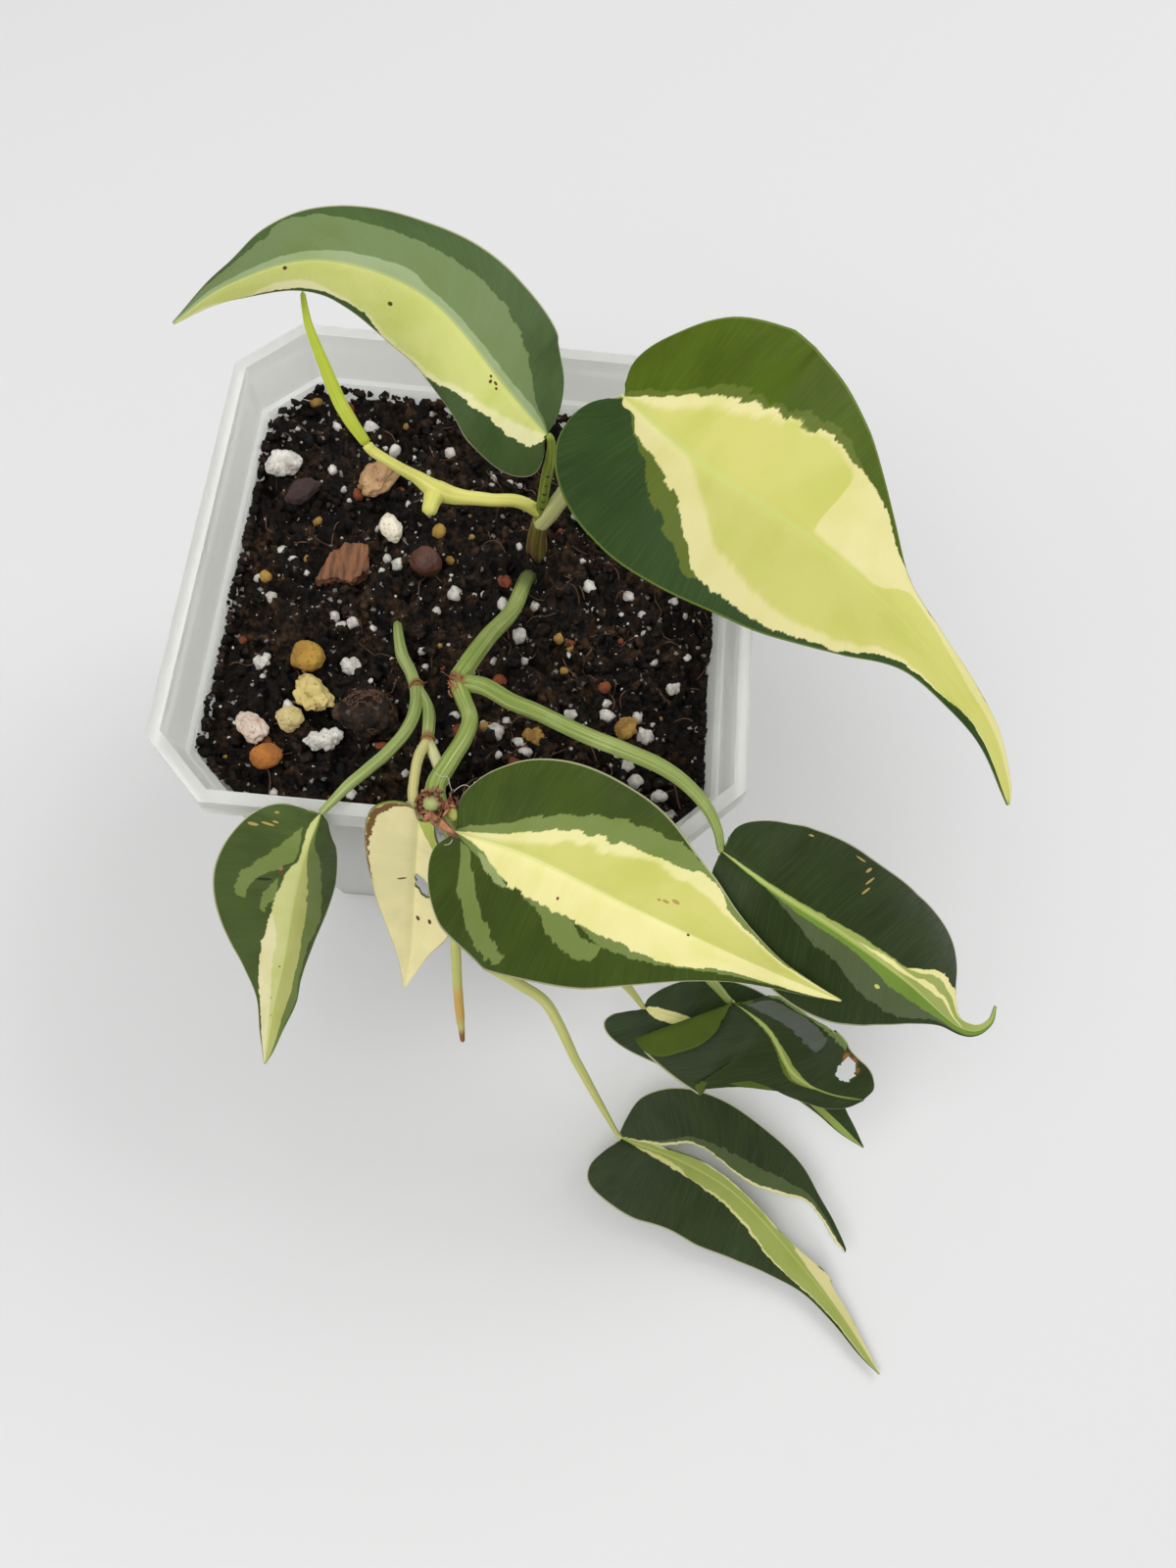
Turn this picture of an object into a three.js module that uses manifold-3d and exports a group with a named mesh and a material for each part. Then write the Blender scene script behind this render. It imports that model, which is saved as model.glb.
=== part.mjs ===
// A potted gabby philodendron: a small trailing aroid with variegated heart-shaped leaves, rooted in
// dark potting mix in a clear square nursery pot with cut corners.
// Millimetres, +Z up. The origin is the centre of the pot's flat base, on the surface it stands on,
// and -Y is the side where the stems hang over the rim.

import * as THREE from "three";
import { mergeVertices } from "three/addons/utils/BufferGeometryUtils.js";
import Module from "manifold-3d";

const wasm = await Module();
wasm.setup();

// driving dimensions of the pot: half widths are from the middle to a flat side
const POT_HEIGHT = 88;
const RIM_HALF = 50;
const RIM_CUT = 11;
const RIM_WIDTH = 2.3;
const LIP_HEIGHT = 5;
const LEDGE_DEPTH = 10.3;
const LEDGE_WIDTH = 1.2;
const BASE_HALF = 36;
const BASE_CUT = 7;
const WALL = 1;
const FLOOR = 1.5;
const DRAIN_RADIUS = 3.5;
const DRAIN_RING = 24;
const DRAIN_COUNT = 8;

// the mix: mean height of its surface, how far it falls to the right and to the front
const SOIL_TOP = 74.5;
const SOIL_FALL_X = 2;
const SOIL_FALL_Y = 0.8;
const SOIL_EDGE_GAP = 0.35;
const CRUMB_COUNT = 34;

// pieces that touch keep this gap
const GAP = 0.3;
const BLADE = 0.7;

// small repeatable random numbers
function random(seed) {
  let state = seed;
  return () => {
    state = (state * 16807) % 2147483647;
    return state / 2147483647;
  };
}

function solid(geometry) {
  const bare = geometry.index ? geometry.toNonIndexed() : geometry.clone();
  bare.deleteAttribute("normal");
  bare.deleteAttribute("uv");
  const merged = mergeVertices(bare, 1e-4);
  return new wasm.Manifold(
    new wasm.Mesh({
      numProp: 3,
      vertProperties: merged.attributes.position.array,
      triVerts: new Uint32Array(merged.index.array),
    }),
  );
}

function surface(body) {
  const mesh = body.getMesh();
  return new THREE.BufferGeometry()
    .setAttribute("position", new THREE.BufferAttribute(mesh.vertProperties, mesh.numProp))
    .setIndex(new THREE.BufferAttribute(mesh.triVerts, 1));
}

function largest(body) {
  const bodies = body.decompose();
  bodies.sort((a, b) => b.volume() - a.volume());
  return bodies[0];
}

const join = (bodies) => bodies.reduce((all, body) => all.add(body));

function geometryOf(points, faces) {
  return new THREE.BufferGeometry().setFromPoints(points).setIndex(faces);
}

// closes a stack of rings with equally many points, turning left seen from its far end, into a solid
function loft(rings) {
  const count = rings[0].length;
  const faces = [];
  for (let row = 0; row + 1 < rings.length; row++) {
    for (let i = 0; i < count; i++) {
      const here = row * count + i;
      const beside = row * count + ((i + 1) % count);
      faces.push(here, beside, beside + count, here, beside + count, here + count);
    }
  }
  const last = (rings.length - 1) * count;
  for (let i = 1; i + 1 < count; i++) {
    faces.push(0, i + 1, i);
    faces.push(last, last + i, last + i + 1);
  }
  return geometryOf(rings.flat(), faces);
}

// the pot
function octagon(half, cut, z) {
  const near = half - cut;
  return [
    [half, -near],
    [half, near],
    [near, half],
    [-near, half],
    [-half, near],
    [-half, -near],
    [-near, -half],
    [near, -half],
  ].map(([x, y]) => new THREE.Vector3(x, y, z));
}

const LEDGE_Z = POT_HEIGHT - LEDGE_DEPTH;
const LIP_Z = POT_HEIGHT - LIP_HEIGHT;
const INNER_RIM = RIM_HALF - RIM_WIDTH;
const INNER_LEDGE = INNER_RIM - 1.4;
const BELOW_LEDGE = INNER_LEDGE - LEDGE_WIDTH;
const INNER_CUT = RIM_CUT - 1.4;
const FOOT_CHAMFER = 1;

// half width of the pot's inner wall at a height below the ledge
function innerHalf(z) {
  const share = (z - FLOOR) / (LEDGE_Z - FLOOR);
  return BASE_HALF - WALL + (BELOW_LEDGE - BASE_HALF + WALL) * share;
}

function innerCut(z) {
  const share = (z - FLOOR) / (LEDGE_Z - FLOOR);
  return BASE_CUT + (INNER_CUT - 0.8 - BASE_CUT) * share;
}

function pot() {
  const shell = loft([
    octagon(BASE_HALF - FOOT_CHAMFER, BASE_CUT, 0),
    octagon(BASE_HALF, BASE_CUT, FOOT_CHAMFER),
    octagon(BELOW_LEDGE + WALL, INNER_CUT, LEDGE_Z - WALL - 1.5),
    octagon(INNER_LEDGE + WALL, INNER_CUT, LEDGE_Z - WALL),
    octagon(INNER_RIM + WALL, INNER_CUT, LIP_Z),
    octagon(RIM_HALF, RIM_CUT, LIP_Z),
    octagon(RIM_HALF, RIM_CUT, POT_HEIGHT),
    octagon(INNER_RIM, INNER_CUT, POT_HEIGHT),
    octagon(INNER_LEDGE, INNER_CUT, LEDGE_Z),
    octagon(BELOW_LEDGE, INNER_CUT - 0.8, LEDGE_Z),
    octagon(BASE_HALF - WALL, BASE_CUT, FLOOR),
  ]);
  const drains = [];
  for (let i = 0; i < DRAIN_COUNT; i++) {
    const angle = ((i + 0.5) * 2 * Math.PI) / DRAIN_COUNT;
    const drain = new THREE.CylinderGeometry(DRAIN_RADIUS, DRAIN_RADIUS, 3 * FLOOR, 12);
    drain.rotateX(Math.PI / 2);
    drain.translate(DRAIN_RING * Math.cos(angle), DRAIN_RING * Math.sin(angle), FLOOR / 2);
    drains.push(solid(drain));
  }
  return surface(solid(shell).subtract(join(drains)));
}

// stems
// a round stem through points, with its radius given at even steps along it
function stem(points, radii, sides = 7, step = 3.8) {
  const curve = new THREE.CatmullRomCurve3(points.map((p) => new THREE.Vector3(...p)));
  const rows = Math.max(3, Math.round(curve.getLength() / step));
  const frames = curve.computeFrenetFrames(rows, false);
  const rings = [];
  for (let row = 0; row <= rows; row++) {
    const along = row / rows;
    const middle = curve.getPointAt(along);
    const place = along * (radii.length - 1);
    const low = Math.min(Math.floor(place), radii.length - 2);
    const radius = THREE.MathUtils.lerp(radii[low], radii[low + 1], place - low);
    const ring = [];
    for (let i = 0; i < sides; i++) {
      const angle = (i * 2 * Math.PI) / sides;
      ring.push(
        middle
          .clone()
          .addScaledVector(frames.normals[row], radius * Math.cos(angle))
          .addScaledVector(frames.binormals[row], radius * Math.sin(angle)),
      );
    }
    rings.push(ring);
  }
  return solid(loft(rings));
}

// leaves
// Each blade is laid out flat first: u runs along the midrib from the petiole, v across it.
// rib: points of the midrib from base to tip. face: where the upper side looks at base and tip.
// left and right, seen from above with the tip ahead: the outline from the petiole round the lobe to
// the tip, then how far each half rises from the midrib and curls up (degrees, degrees per mm), at
// base and tip. rolls: places where the edge is rolled up.
const LEAVES = {
  leaf_1: {
    rib: [
      [12, 5.5, 118],
      [6, 8, 124],
      [-8, 18, 132],
      [-24, 21, 134],
      [-39.5, 21, 127],
      [-50.5, 21.5, 117],
    ],
    face: [
      [0, -0.35, 0.95],
      [-0.2, -0.3, 0.9],
    ],
    left: {
      outline: [[0, 1], [-3.5, 4], [-5, 8], [-3, 12], [3, 14], [12, 15.5], [21, 17], [30, 15.5], [42, 9.5],
        [52, 5.5], [62, 3.2], [70, 1.4]],
      rise: [-48, -85],
      curl: [-1.2, -0.6],
    },
    right: {
      outline: [[0, 1], [0.5, 5], [3, 10.5], [10.5, 13.5], [22, 13.5], [33, 11.5], [45, 9.5], [55, 6.8],
        [62, 3.5], [69, 1.6]],
      rise: [-22, 0],
      curl: [-0.6, -0.3],
    },
  },
  leaf_2: {
    rib: [
      [23.5, 6, 128],
      [30, -0.7, 128.8],
      [36.9, -6.7, 128.9],
      [51, -13.8, 126],
      [68.5, -24, 119],
      [81.5, -34.5, 111],
      [88, -44, 103],
    ],
    face: [
      [0.1, -0.35, 0.93],
      [0.2, -0.3, 0.9],
    ],
    left: {
      outline: [[-1.5, 1.4], [-3.5, 4.7], [-4, 9], [-3, 14.5], [-1, 20], [2.5, 24.5], [8, 27.3], [18, 26.9],
        [28, 24.2], [36, 18.4], [45, 11], [52, 5.5], [60, 3.6], [70, 2.6], [80, 2.2], [87, 1.2]],
      rise: [0, -10],
      curl: [-0.45, 0],
    },
    right: {
      outline: [[-0.6, 1], [-3.5, 3.2], [-5.5, 7], [-5.5, 11.5], [-3.5, 15], [-0.5, 17.2], [5, 18.8],
        [13, 19.3], [22, 18.4], [31, 17], [38, 15.6], [44, 13.4], [52, 9.6], [60, 5], [70, 3], [80, 1.2]],
      rise: [-28, -10],
      curl: [-0.6, 0],
    },
  },
  leaf_3: {
    rib: [
      [45.5, -52.5, 94],
      [53.5, -57.5, 93],
      [66, -61.5, 86],
      [79, -65.5, 76],
      [92.5, -69.5, 63],
      [96.5, -69, 60.5],
      [99, -67, 60],
      [99.5, -64.5, 61],
    ],
    face: [
      [0.1, -0.3, 0.94],
      [0.25, -0.3, 0.9],
    ],
    left: {
      outline: [[0, 1.1], [-0.5, 4.5], [2.5, 9], [7, 11.6], [14, 13.5], [21, 15], [30, 15.7], [40, 16.3],
        [50, 15.6], [54.5, 13.5], [56, 10], [56.5, 5.5], [59, 2], [64, 1.2]],
      rise: [-6, -15],
      curl: [-1.5, -1.5],
    },
    right: {
      outline: [[0, 0.9], [1, 4], [6, 8.5], [14.5, 12.3], [24.5, 14.2], [34.5, 13.3], [40, 11], [45, 8],
        [50, 4.6], [56, 1.6], [64, 1]],
      rise: [-8, -15],
      curl: [-1.2, -1.2],
    },
  },
  leaf_4: {
    rib: [
      [3.5, -53.3, 94],
      [14.5, -56.5, 96],
      [31, -62.5, 94],
      [47.5, -68, 91.5],
      [57, -69.5, 86],
      [67.5, -71, 80],
    ],
    face: [
      [0.05, -0.4, 0.92],
      [0.2, -0.35, 0.9],
    ],
    left: {
      outline: [[0, 1], [-0.8, 5.5], [1, 9], [4.5, 12.2], [8.5, 14.8], [14, 16.7], [21.5, 17], [29, 15.7],
        [36.5, 11.7], [41, 9.3], [45.5, 6.5], [51, 4], [58, 1.9], [65, 0.8]],
      rise: [-5, -5],
      curl: [-1, -1],
    },
    right: {
      outline: [[-0.8, 1], [-2.8, 3.5], [-3.2, 7.5], [-2.2, 12], [0, 16.7], [4.3, 20.4], [8.5, 21.9],
        [15.5, 21.3], [23, 19], [28.5, 16.5], [35, 12], [43, 7], [50, 4], [58, 2.3], [65, 1.2]],
      rise: [-10, -10],
      curl: [-1.2, -1],
    },
  },
  leaf_5: {
    rib: [
      [55.5, -64, 44],
      [62, -68.5, 44],
      [68, -75, 38],
      [75.5, -77, 32],
      [84, -77, 28],
    ],
    face: [
      [0.1, -0.4, 0.9],
      [0.3, -0.4, 0.8],
    ],
    left: {
      outline: [[1, 0.8], [2.6, 1.6], [3.6, 3.5], [4.8, 5.3], [6.6, 6.5], [9.2, 7.3], [11.5, 9], [14.3, 10.6],
        [20, 11.6], [26, 11.3], [30.2, 10], [34.5, 7.9], [37.1, 6.4], [39, 4.2], [39.6, 2.4]],
      rise: [5, 0],
      curl: [0, 0],
    },
    right: {
      outline: [[-0.4, 0.6], [-4, 0.7], [-7.4, 1.4], [-10.4, 3.4], [-12.9, 7.2], [-14.4, 10.7], [-13.9, 14],
        [-11.5, 16.8], [-8.5, 18], [-4, 18.4], [1, 18.3], [7, 17.9], [12.4, 16.6], [13.4, 14], [14.2, 11],
        [15.6, 7.4], [17.5, 5.2], [20.6, 4.2], [25, 3.4], [30.6, 3], [35, 2]],
      rise: [-5, -10],
      curl: [0, 0],
    },
    rolls: [{ u: -9.8, v: 18, outward: 212, radius: 1.2, turn: 150 }],
    holes: [[32.2, -5.2, 2.2]],
  },
  leaf_6: {
    rib: [
      [39.5, -64.6, 35.8],
      [49.5, -67.1, 36.4],
      [61.6, -71.5, 31.3],
      [74, -76.5, 23.2],
      [80.3, -79.8, 19],
      [87, -84.3, 15.2],
    ],
    face: [
      [0.1, -0.3, 0.9],
      [0.2, -0.3, 0.9],
    ],
    left: {
      outline: [[-0.6, 0.6], [-0.4, 1.8], [1.3, 4], [4.3, 6.4], [7, 8], [11.6, 10.2], [18.3, 11.6], [28, 11],
        [37.4, 8.7], [43, 6.4], [48.3, 3.2], [53, 1.6]],
      rise: [0, 0],
      curl: [-0.5, 0],
    },
    right: {
      outline: [[-1, 0.6], [-3.5, 1.8], [-6.2, 3.3], [-7.3, 5], [-6.6, 6.6], [-3.7, 8.3], [1.4, 9.4], [7.2, 10],
        [14, 9.2], [20, 6.8], [28, 3.6], [36, 2], [44, 1.6], [51, 1.4]],
      rise: [-5, 0],
      curl: [-0.5, 0],
    },
  },
  leaf_7: {
    rib: [
      [38, -86, 9],
      [49.5, -89, 9],
      [62, -94.5, 7],
      [76.5, -107, 4],
      [86, -117, 2.5],
      [93.5, -126.5, 1.5],
    ],
    face: [
      [0, -0.1, 1],
      [0, -0.1, 1],
    ],
    left: {
      outline: [[-0.8, 1], [-0.5, 4], [0.8, 8.5], [4.5, 11.8], [10, 14.2], [16, 14.9], [24, 14.3], [32, 13.8],
        [38, 12.2], [44.5, 10.8], [49.5, 9]],
      inner: [[0, 0.3], [4, 0.6], [9, 1.6], [13.4, 3.9], [17, 4.2], [23, 3.3], [27.5, 3.6], [33, 6.4],
        [37, 9.2], [42, 9.3], [46.5, 8.4]],
      rise: [3, 3],
      curl: [0, 0],
    },
    strip: {
      outline: [[-0.8, 1], [1, 1.2], [4, 1], [9, 1], [17, 1.8], [22, 1.6], [30, 1.2], [38, 1.1], [46, 2],
        [51, 3], [53, 2.2], [57, 1.8], [63, 1]],
      rise: [0, 0],
      curl: [0, 0],
    },
    flapTip: [49.5, 8.8],
    right: {
      outline: [[-0.6, 1], [-2.8, 3.8], [-4.6, 7.4], [-3.9, 10.4], [1, 13], [7, 14.4], [16, 13.6], [27, 13],
        [35, 10], [42, 6.6], [50, 3.4], [58, 2.2], [66, 1.4]],
      rise: [-3, -3],
      curl: [-0.3, -0.3],
    },
  },
  leaf_8: {
    rib: [
      [-18.5, -51.5, 91],
      [-20.5, -56.5, 87],
      [-23, -62, 78],
      [-25.5, -69, 66],
      [-28, -75.5, 56],
      [-30, -83.5, 46],
    ],
    face: [
      [0.1, -0.75, 0.65],
      [0.1, -0.9, 0.4],
    ],
    left: {
      outline: [[0.4, 0.9], [2, 3.4], [6.5, 6.6], [13, 8.7], [19, 9.4], [25, 8], [31, 5.8], [38, 4.6], [44, 4.6],
        [50, 2.6], [54.5, 1.2]],
      rise: [-55, -30],
      curl: [-1, 0],
    },
    right: {
      outline: [[0, 1], [0, 3.4], [0.6, 6.2], [2.4, 8.8], [5.6, 11.1], [10, 12.8], [16, 13.7], [22, 12.8],
        [29, 10], [36, 6.2], [42, 3.2], [50, 1.6]],
      rise: [-5, 0],
      curl: [-1, 0],
    },
  },
  leaf_9: {
    rib: [
      [-2.6, -51.6, 92.5],
      [-3.7, -55, 80],
      [-4.6, -59, 67],
      [-5.4, -63, 56],
      [-6.7, -67.5, 47],
    ],
    face: [
      [0.05, -0.85, 0.4],
      [0.1, -0.95, 0.3],
    ],
    left: {
      outline: [[-0.4, 0.9], [-1, 2.2], [3, 3], [8, 4.6], [15, 6], [23, 6.8], [31, 6.6], [37, 3.8], [43, 1.8]],
      rise: [10, 10],
      curl: [1, 1],
    },
    right: {
      outline: [[-1.8, 0.9], [-4.6, 1.6], [-5.6, 4.6], [-4.6, 7], [-1, 8.2], [5, 8.3], [12, 7.6], [21, 6.4],
        [30, 4.5], [40, 2.1]],
      rise: [10, 10],
      curl: [1, 1],
    },
    holes: [[17.5, -3.6, 1.1]],
  },
};
const TIP_HALF = 0.5;

// the midrib as a curve that can be followed by length, with the blade's axes along it
function midrib(leaf) {
  const curve = new THREE.CatmullRomCurve3(leaf.rib.map((p) => new THREE.Vector3(...p)));
  const length = curve.getLength();
  const faces = leaf.face.map((p) => new THREE.Vector3(...p));
  const at = (u) => {
    const share = THREE.MathUtils.clamp(u / length, 0, 1);
    const along = curve.getTangentAt(share);
    const middle = curve.getPointAt(share).addScaledVector(along, u - share * length);
    const up = faces[0].clone().lerp(faces[1], share);
    up.addScaledVector(along, -up.dot(along)).normalize();
    return { share, middle, along, up, right: along.clone().cross(up) };
  };
  return { length, at };
}

// bends the flat blade over a roll: what lies beyond its line turns up round its radius
function rolled(u, v, rolls) {
  let place = { u, v, lift: 0 };
  for (const roll of rolls) {
    const angle = THREE.MathUtils.degToRad(roll.outward);
    const out = [Math.cos(angle), Math.sin(angle)];
    const beyond = (u - roll.u) * out[0] + (v - roll.v) * out[1];
    if (beyond <= 0) continue;
    const turn = Math.min(beyond / roll.radius, THREE.MathUtils.degToRad(roll.turn));
    const rest = beyond - turn * roll.radius;
    const reach = roll.radius * Math.sin(turn) + rest * Math.cos(turn);
    place = {
      u: u + out[0] * (reach - beyond),
      v: v + out[1] * (reach - beyond),
      lift: roll.radius * (1 - Math.cos(turn)) + rest * Math.sin(turn),
    };
  }
  return place;
}

// the point of a blade in space for a flat place u, v, with v below 0 on its left half
function bladePoint(leaf, rib, flatU, flatV) {
  const { u, v, lift } = rolled(flatU, flatV, leaf.rolls ?? []);
  const { share, middle, up, right } = rib.at(u);
  const half = v < 0 ? leaf.left : leaf.right;
  const rise = THREE.MathUtils.degToRad(THREE.MathUtils.lerp(...half.rise, share));
  const curl = THREE.MathUtils.degToRad(THREE.MathUtils.lerp(...half.curl, share)) || 1e-6;
  const width = Math.abs(v);
  const across = (Math.sin(rise + curl * width) - Math.sin(rise)) / curl;
  const above = (Math.cos(rise) - Math.cos(rise + curl * width)) / curl;
  return middle
    .addScaledVector(right, Math.sign(v) * across)
    .addScaledVector(up, above + lift);
}

function outlineCurve(points, tipU, tipV = TIP_HALF) {
  const flat = points.map(([u, v]) => new THREE.Vector3(u, v, 0));
  return new THREE.CatmullRomCurve3([...flat, new THREE.Vector3(tipU, tipV, 0)]);
}

// places u, v of one half of a blade: rows from the petiole to the tip, columns from rib to edge
const VEIN_LAG = 1.5;
const VEIN_SWEEP = 1.3;
function halfGrid(half, length, rows, columns) {
  const edge = outlineCurve(half.outline, length);
  const grid = [];
  for (let row = 0; row <= rows; row++) {
    const share = row / rows;
    const rim = edge.getPointAt(share);
    const start = length * share ** VEIN_LAG;
    const line = [];
    for (let column = 0; column <= columns; column++) {
      const t = column / columns;
      line.push([start + (rim.x - start) * t ** VEIN_SWEEP, rim.y * t]);
    }
    grid.push(line);
  }
  return grid;
}

// a sheet of points, rows by columns, made a solid blade of even thickness, split alike on both faces
function thicken(sheet, thickness) {
  const rows = sheet.length;
  const columns = sheet[0].length;
  const at = (r, c) => sheet[THREE.MathUtils.clamp(r, 0, rows - 1)][THREE.MathUtils.clamp(c, 0, columns - 1)];
  const top = [];
  const bottom = [];
  for (let r = 0; r < rows; r++) {
    for (let c = 0; c < columns; c++) {
      const down = at(r + 1, c).clone().sub(at(r - 1, c));
      const over = at(r, c + 1).clone().sub(at(r, c - 1));
      const normal = over.cross(down).normalize();
      top.push(at(r, c).clone().addScaledVector(normal, thickness / 2));
      bottom.push(at(r, c).clone().addScaledVector(normal, -thickness / 2));
    }
  }
  const under = top.length;
  const faces = [];
  const quad = (a, b, c, d) => faces.push(a, b, c, a, c, d);
  for (let r = 0; r + 1 < rows; r++) {
    for (let c = 0; c + 1 < columns; c++) {
      const a = r * columns + c;
      const b = a + 1;
      const d = a + columns;
      const e = d + 1;
      faces.push(a, b, e, a, e, d);
      faces.push(under + a, under + e, under + b, under + a, under + d, under + e);
    }
  }
  const border = [];
  for (let c = 0; c + 1 < columns; c++) border.push(c);
  for (let r = 0; r + 1 < rows; r++) border.push(r * columns + columns - 1);
  for (let c = columns - 1; c > 0; c--) border.push((rows - 1) * columns + c);
  for (let r = rows - 1; r > 0; r--) border.push(r * columns);
  border.forEach((here, i) => {
    const next = border[(i + 1) % border.length];
    quad(here, under + here, under + next, next);
  });
  return solid(geometryOf([...top, ...bottom], faces));
}

// both halves of a blade side by side, from the left edge over the midrib to the right edge
function blade(leaf, thickness, rows, columns) {
  const rib = midrib(leaf);
  const left = halfGrid(leaf.left, rib.length, rows, columns);
  const right = halfGrid(leaf.right, rib.length, rows, columns);
  const sheet = left.map((line, row) => {
    const mirrored = line.slice(1).reverse();
    return [
      ...mirrored.map(([u, v]) => bladePoint(leaf, rib, u, -v)),
      ...right[row].map(([u, v]) => bladePoint(leaf, rib, u, v)),
    ];
  });
  return thicken(sheet, thickness);
}

// a blade torn along its midrib: the whole half with a narrow strip beyond the rib, and the loose flap
function tornBlade(leaf, thickness, rows, columns) {
  const main = blade({ ...leaf, left: leaf.strip }, thickness, rows, columns);
  const rib = midrib(leaf);
  const outer = outlineCurve(leaf.left.outline, leaf.flapTip[0], leaf.flapTip[1]);
  const inner = outlineCurve(leaf.left.inner, leaf.flapTip[0], leaf.flapTip[1] - 2 * TIP_HALF);
  const sheet = [];
  for (let row = 0; row <= rows; row++) {
    const rim = outer.getPointAt(row / rows);
    const tear = inner.getPointAt(row / rows);
    const line = [];
    for (let column = columns; column >= 0; column--) {
      const flat = tear.clone().lerp(rim, column / columns);
      line.push(bladePoint(leaf, rib, flat.x, -flat.y));
    }
    sheet.push(line);
  }
  return main.add(thicken(sheet, thickness));
}

// a hole torn in a blade, cut straight through it
function torn(body, leaf) {
  const rib = midrib(leaf);
  for (const [u, v, radius] of leaf.holes ?? []) {
    const place = bladePoint(leaf, rib, u, v);
    const across = bladePoint(leaf, rib, u, v + 1).sub(place);
    const along = bladePoint(leaf, rib, u + 1, v).sub(place);
    const cutter = new THREE.CylinderGeometry(radius, radius, 6 * BLADE, 7);
    const turn = new THREE.Quaternion().setFromUnitVectors(
      new THREE.Vector3(0, 1, 0),
      along.cross(across).normalize(),
    );
    cutter.applyQuaternion(turn).translate(place.x, place.y, place.z);
    body = largest(body.subtract(solid(cutter)));
  }
  return body;
}

const ROWS = 15;
const COLUMNS = 4;
function leafBody(name, thickness) {
  const leaf = LEAVES[name];
  const body = leaf.strip
    ? tornBlade(leaf, thickness, ROWS, COLUMNS)
    : blade(leaf, thickness, ROWS, COLUMNS);
  return torn(body, leaf);
}

// stems, petioles and roots
// each is a list of points and its radii at even steps along it; the first of a rooted stem is in the mix
const VINE = {
  main: {
    points: [
      [9.5, 7.5, 56],
      [9.3, 7.2, 68],
      [9, 7, 74],
      [7.2, -4.4, 80],
      [4, -13, 85],
      [1, -21.3, 88],
      [0.1, -24.2, 89],
      [1.6, -28.1, 90],
      [3.2, -32, 91],
      [2.9, -36, 92],
      [1, -41, 92.7],
      [-0.7, -45.6, 92.8],
      [0, -48.6, 92.4],
      [3.4, -52, 88.6],
      [5, -56, 81],
      [5, -60, 72],
      [8, -61.5, 67],
      [15, -61.5, 63],
      [25, -60, 59],
    ],
    radii: [1.6, 1.6, 1.6, 1.65, 1.9, 1.6, 1.6, 1.9, 1.5, 1.5, 1.7, 1.3, 1.4],
  },
  stump: {
    points: [
      [-0.6, -47, 92.6],
      [-0.7, -48.6, 93.8],
      [-0.8, -49.8, 95.6],
    ],
    radii: [1.3, 1.4, 1.35],
  },
  petiole_3: {
    points: [
      [0.4, -24.6, 89],
      [4.8, -26, 91],
      [10.2, -29.5, 93],
      [14.8, -32, 95],
      [21.2, -35.6, 97],
      [28.8, -38.6, 98],
      [34.4, -40.6, 98],
      [39.3, -43.2, 97],
      [42.6, -46.3, 96],
      [44.6, -49.4, 94.6],
      [45.4, -51.6, 93],
    ],
    radii: [1.5, 1.4, 1.35, 1.3, 1.2, 1],
  },
  petiole_4: {
    points: [
      [0, -48.6, 92.4],
      [1.8, -50.8, 92.9],
      [3.2, -52.7, 93],
    ],
    radii: [1.2, 1, 0.8],
  },
  petiole_5: {
    points: [
      [25, -60, 59],
      [37, -57.5, 57],
      [46, -58.4, 51.5],
      [49.8, -60.6, 48],
      [55, -63.8, 43.2],
    ],
    radii: [1.2, 1.2, 1.2, 1],
  },
  petiole_6: {
    points: [
      [22, -60.4, 60],
      [29, -60.5, 50],
      [35, -62, 41.4],
      [39.1, -64.4, 35.2],
    ],
    radii: [0.9, 0.9, 0.9, 0.8],
  },
  petiole_7: {
    points: [
      [5, -60, 72],
      [8, -64.5, 60.5],
      [14.5, -66.5, 54],
      [19.6, -68, 48],
      [27, -75.3, 30],
      [34.3, -82.4, 13.5],
      [37.4, -85.4, 8],
    ],
    radii: [1.1, 1, 1, 0.9, 0.8],
  },
};
const LEFT_STEM = {
  main: {
    points: [
      [-14.6, -3, 56],
      [-14.4, -4, 66],
      [-14, -6.2, 74],
      [-11.8, -14.2, 78],
      [-9.2, -19.4, 81],
      [-7.7, -22.7, 82],
      [-4.8, -28, 85],
      [-3.8, -33, 87.5],
      [-3.6, -35.4, 88],
      [-2.2, -38, 88],
      [-0.6, -41.2, 88.3],
      [0.4, -43.8, 88.6],
    ],
    radii: [1.2, 1.2, 1.2, 1.2, 1.5, 1.2, 1.15, 1.35, 0.9, 0.9],
  },
  petiole_8: {
    points: [
      [-7.7, -22.7, 82],
      [-6.7, -28.8, 86],
      [-7.1, -33.3, 88],
      [-9.2, -38.6, 90],
      [-12, -43.1, 91.6],
      [-14.4, -46, 91.8],
      [-18.2, -50.8, 90.8],
    ],
    radii: [1.1, 1.05, 1.05, 1.05, 0.9],
  },
  petiole_9: {
    points: [
      [-3.6, -35.4, 88],
      [-4.4, -39, 89.6],
      [-4.4, -44.1, 91.4],
      [-3.9, -48.4, 93],
      [-3, -50.6, 92.8],
    ],
    radii: [0.9, 0.85, 0.85, 0.8],
  },
};
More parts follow.
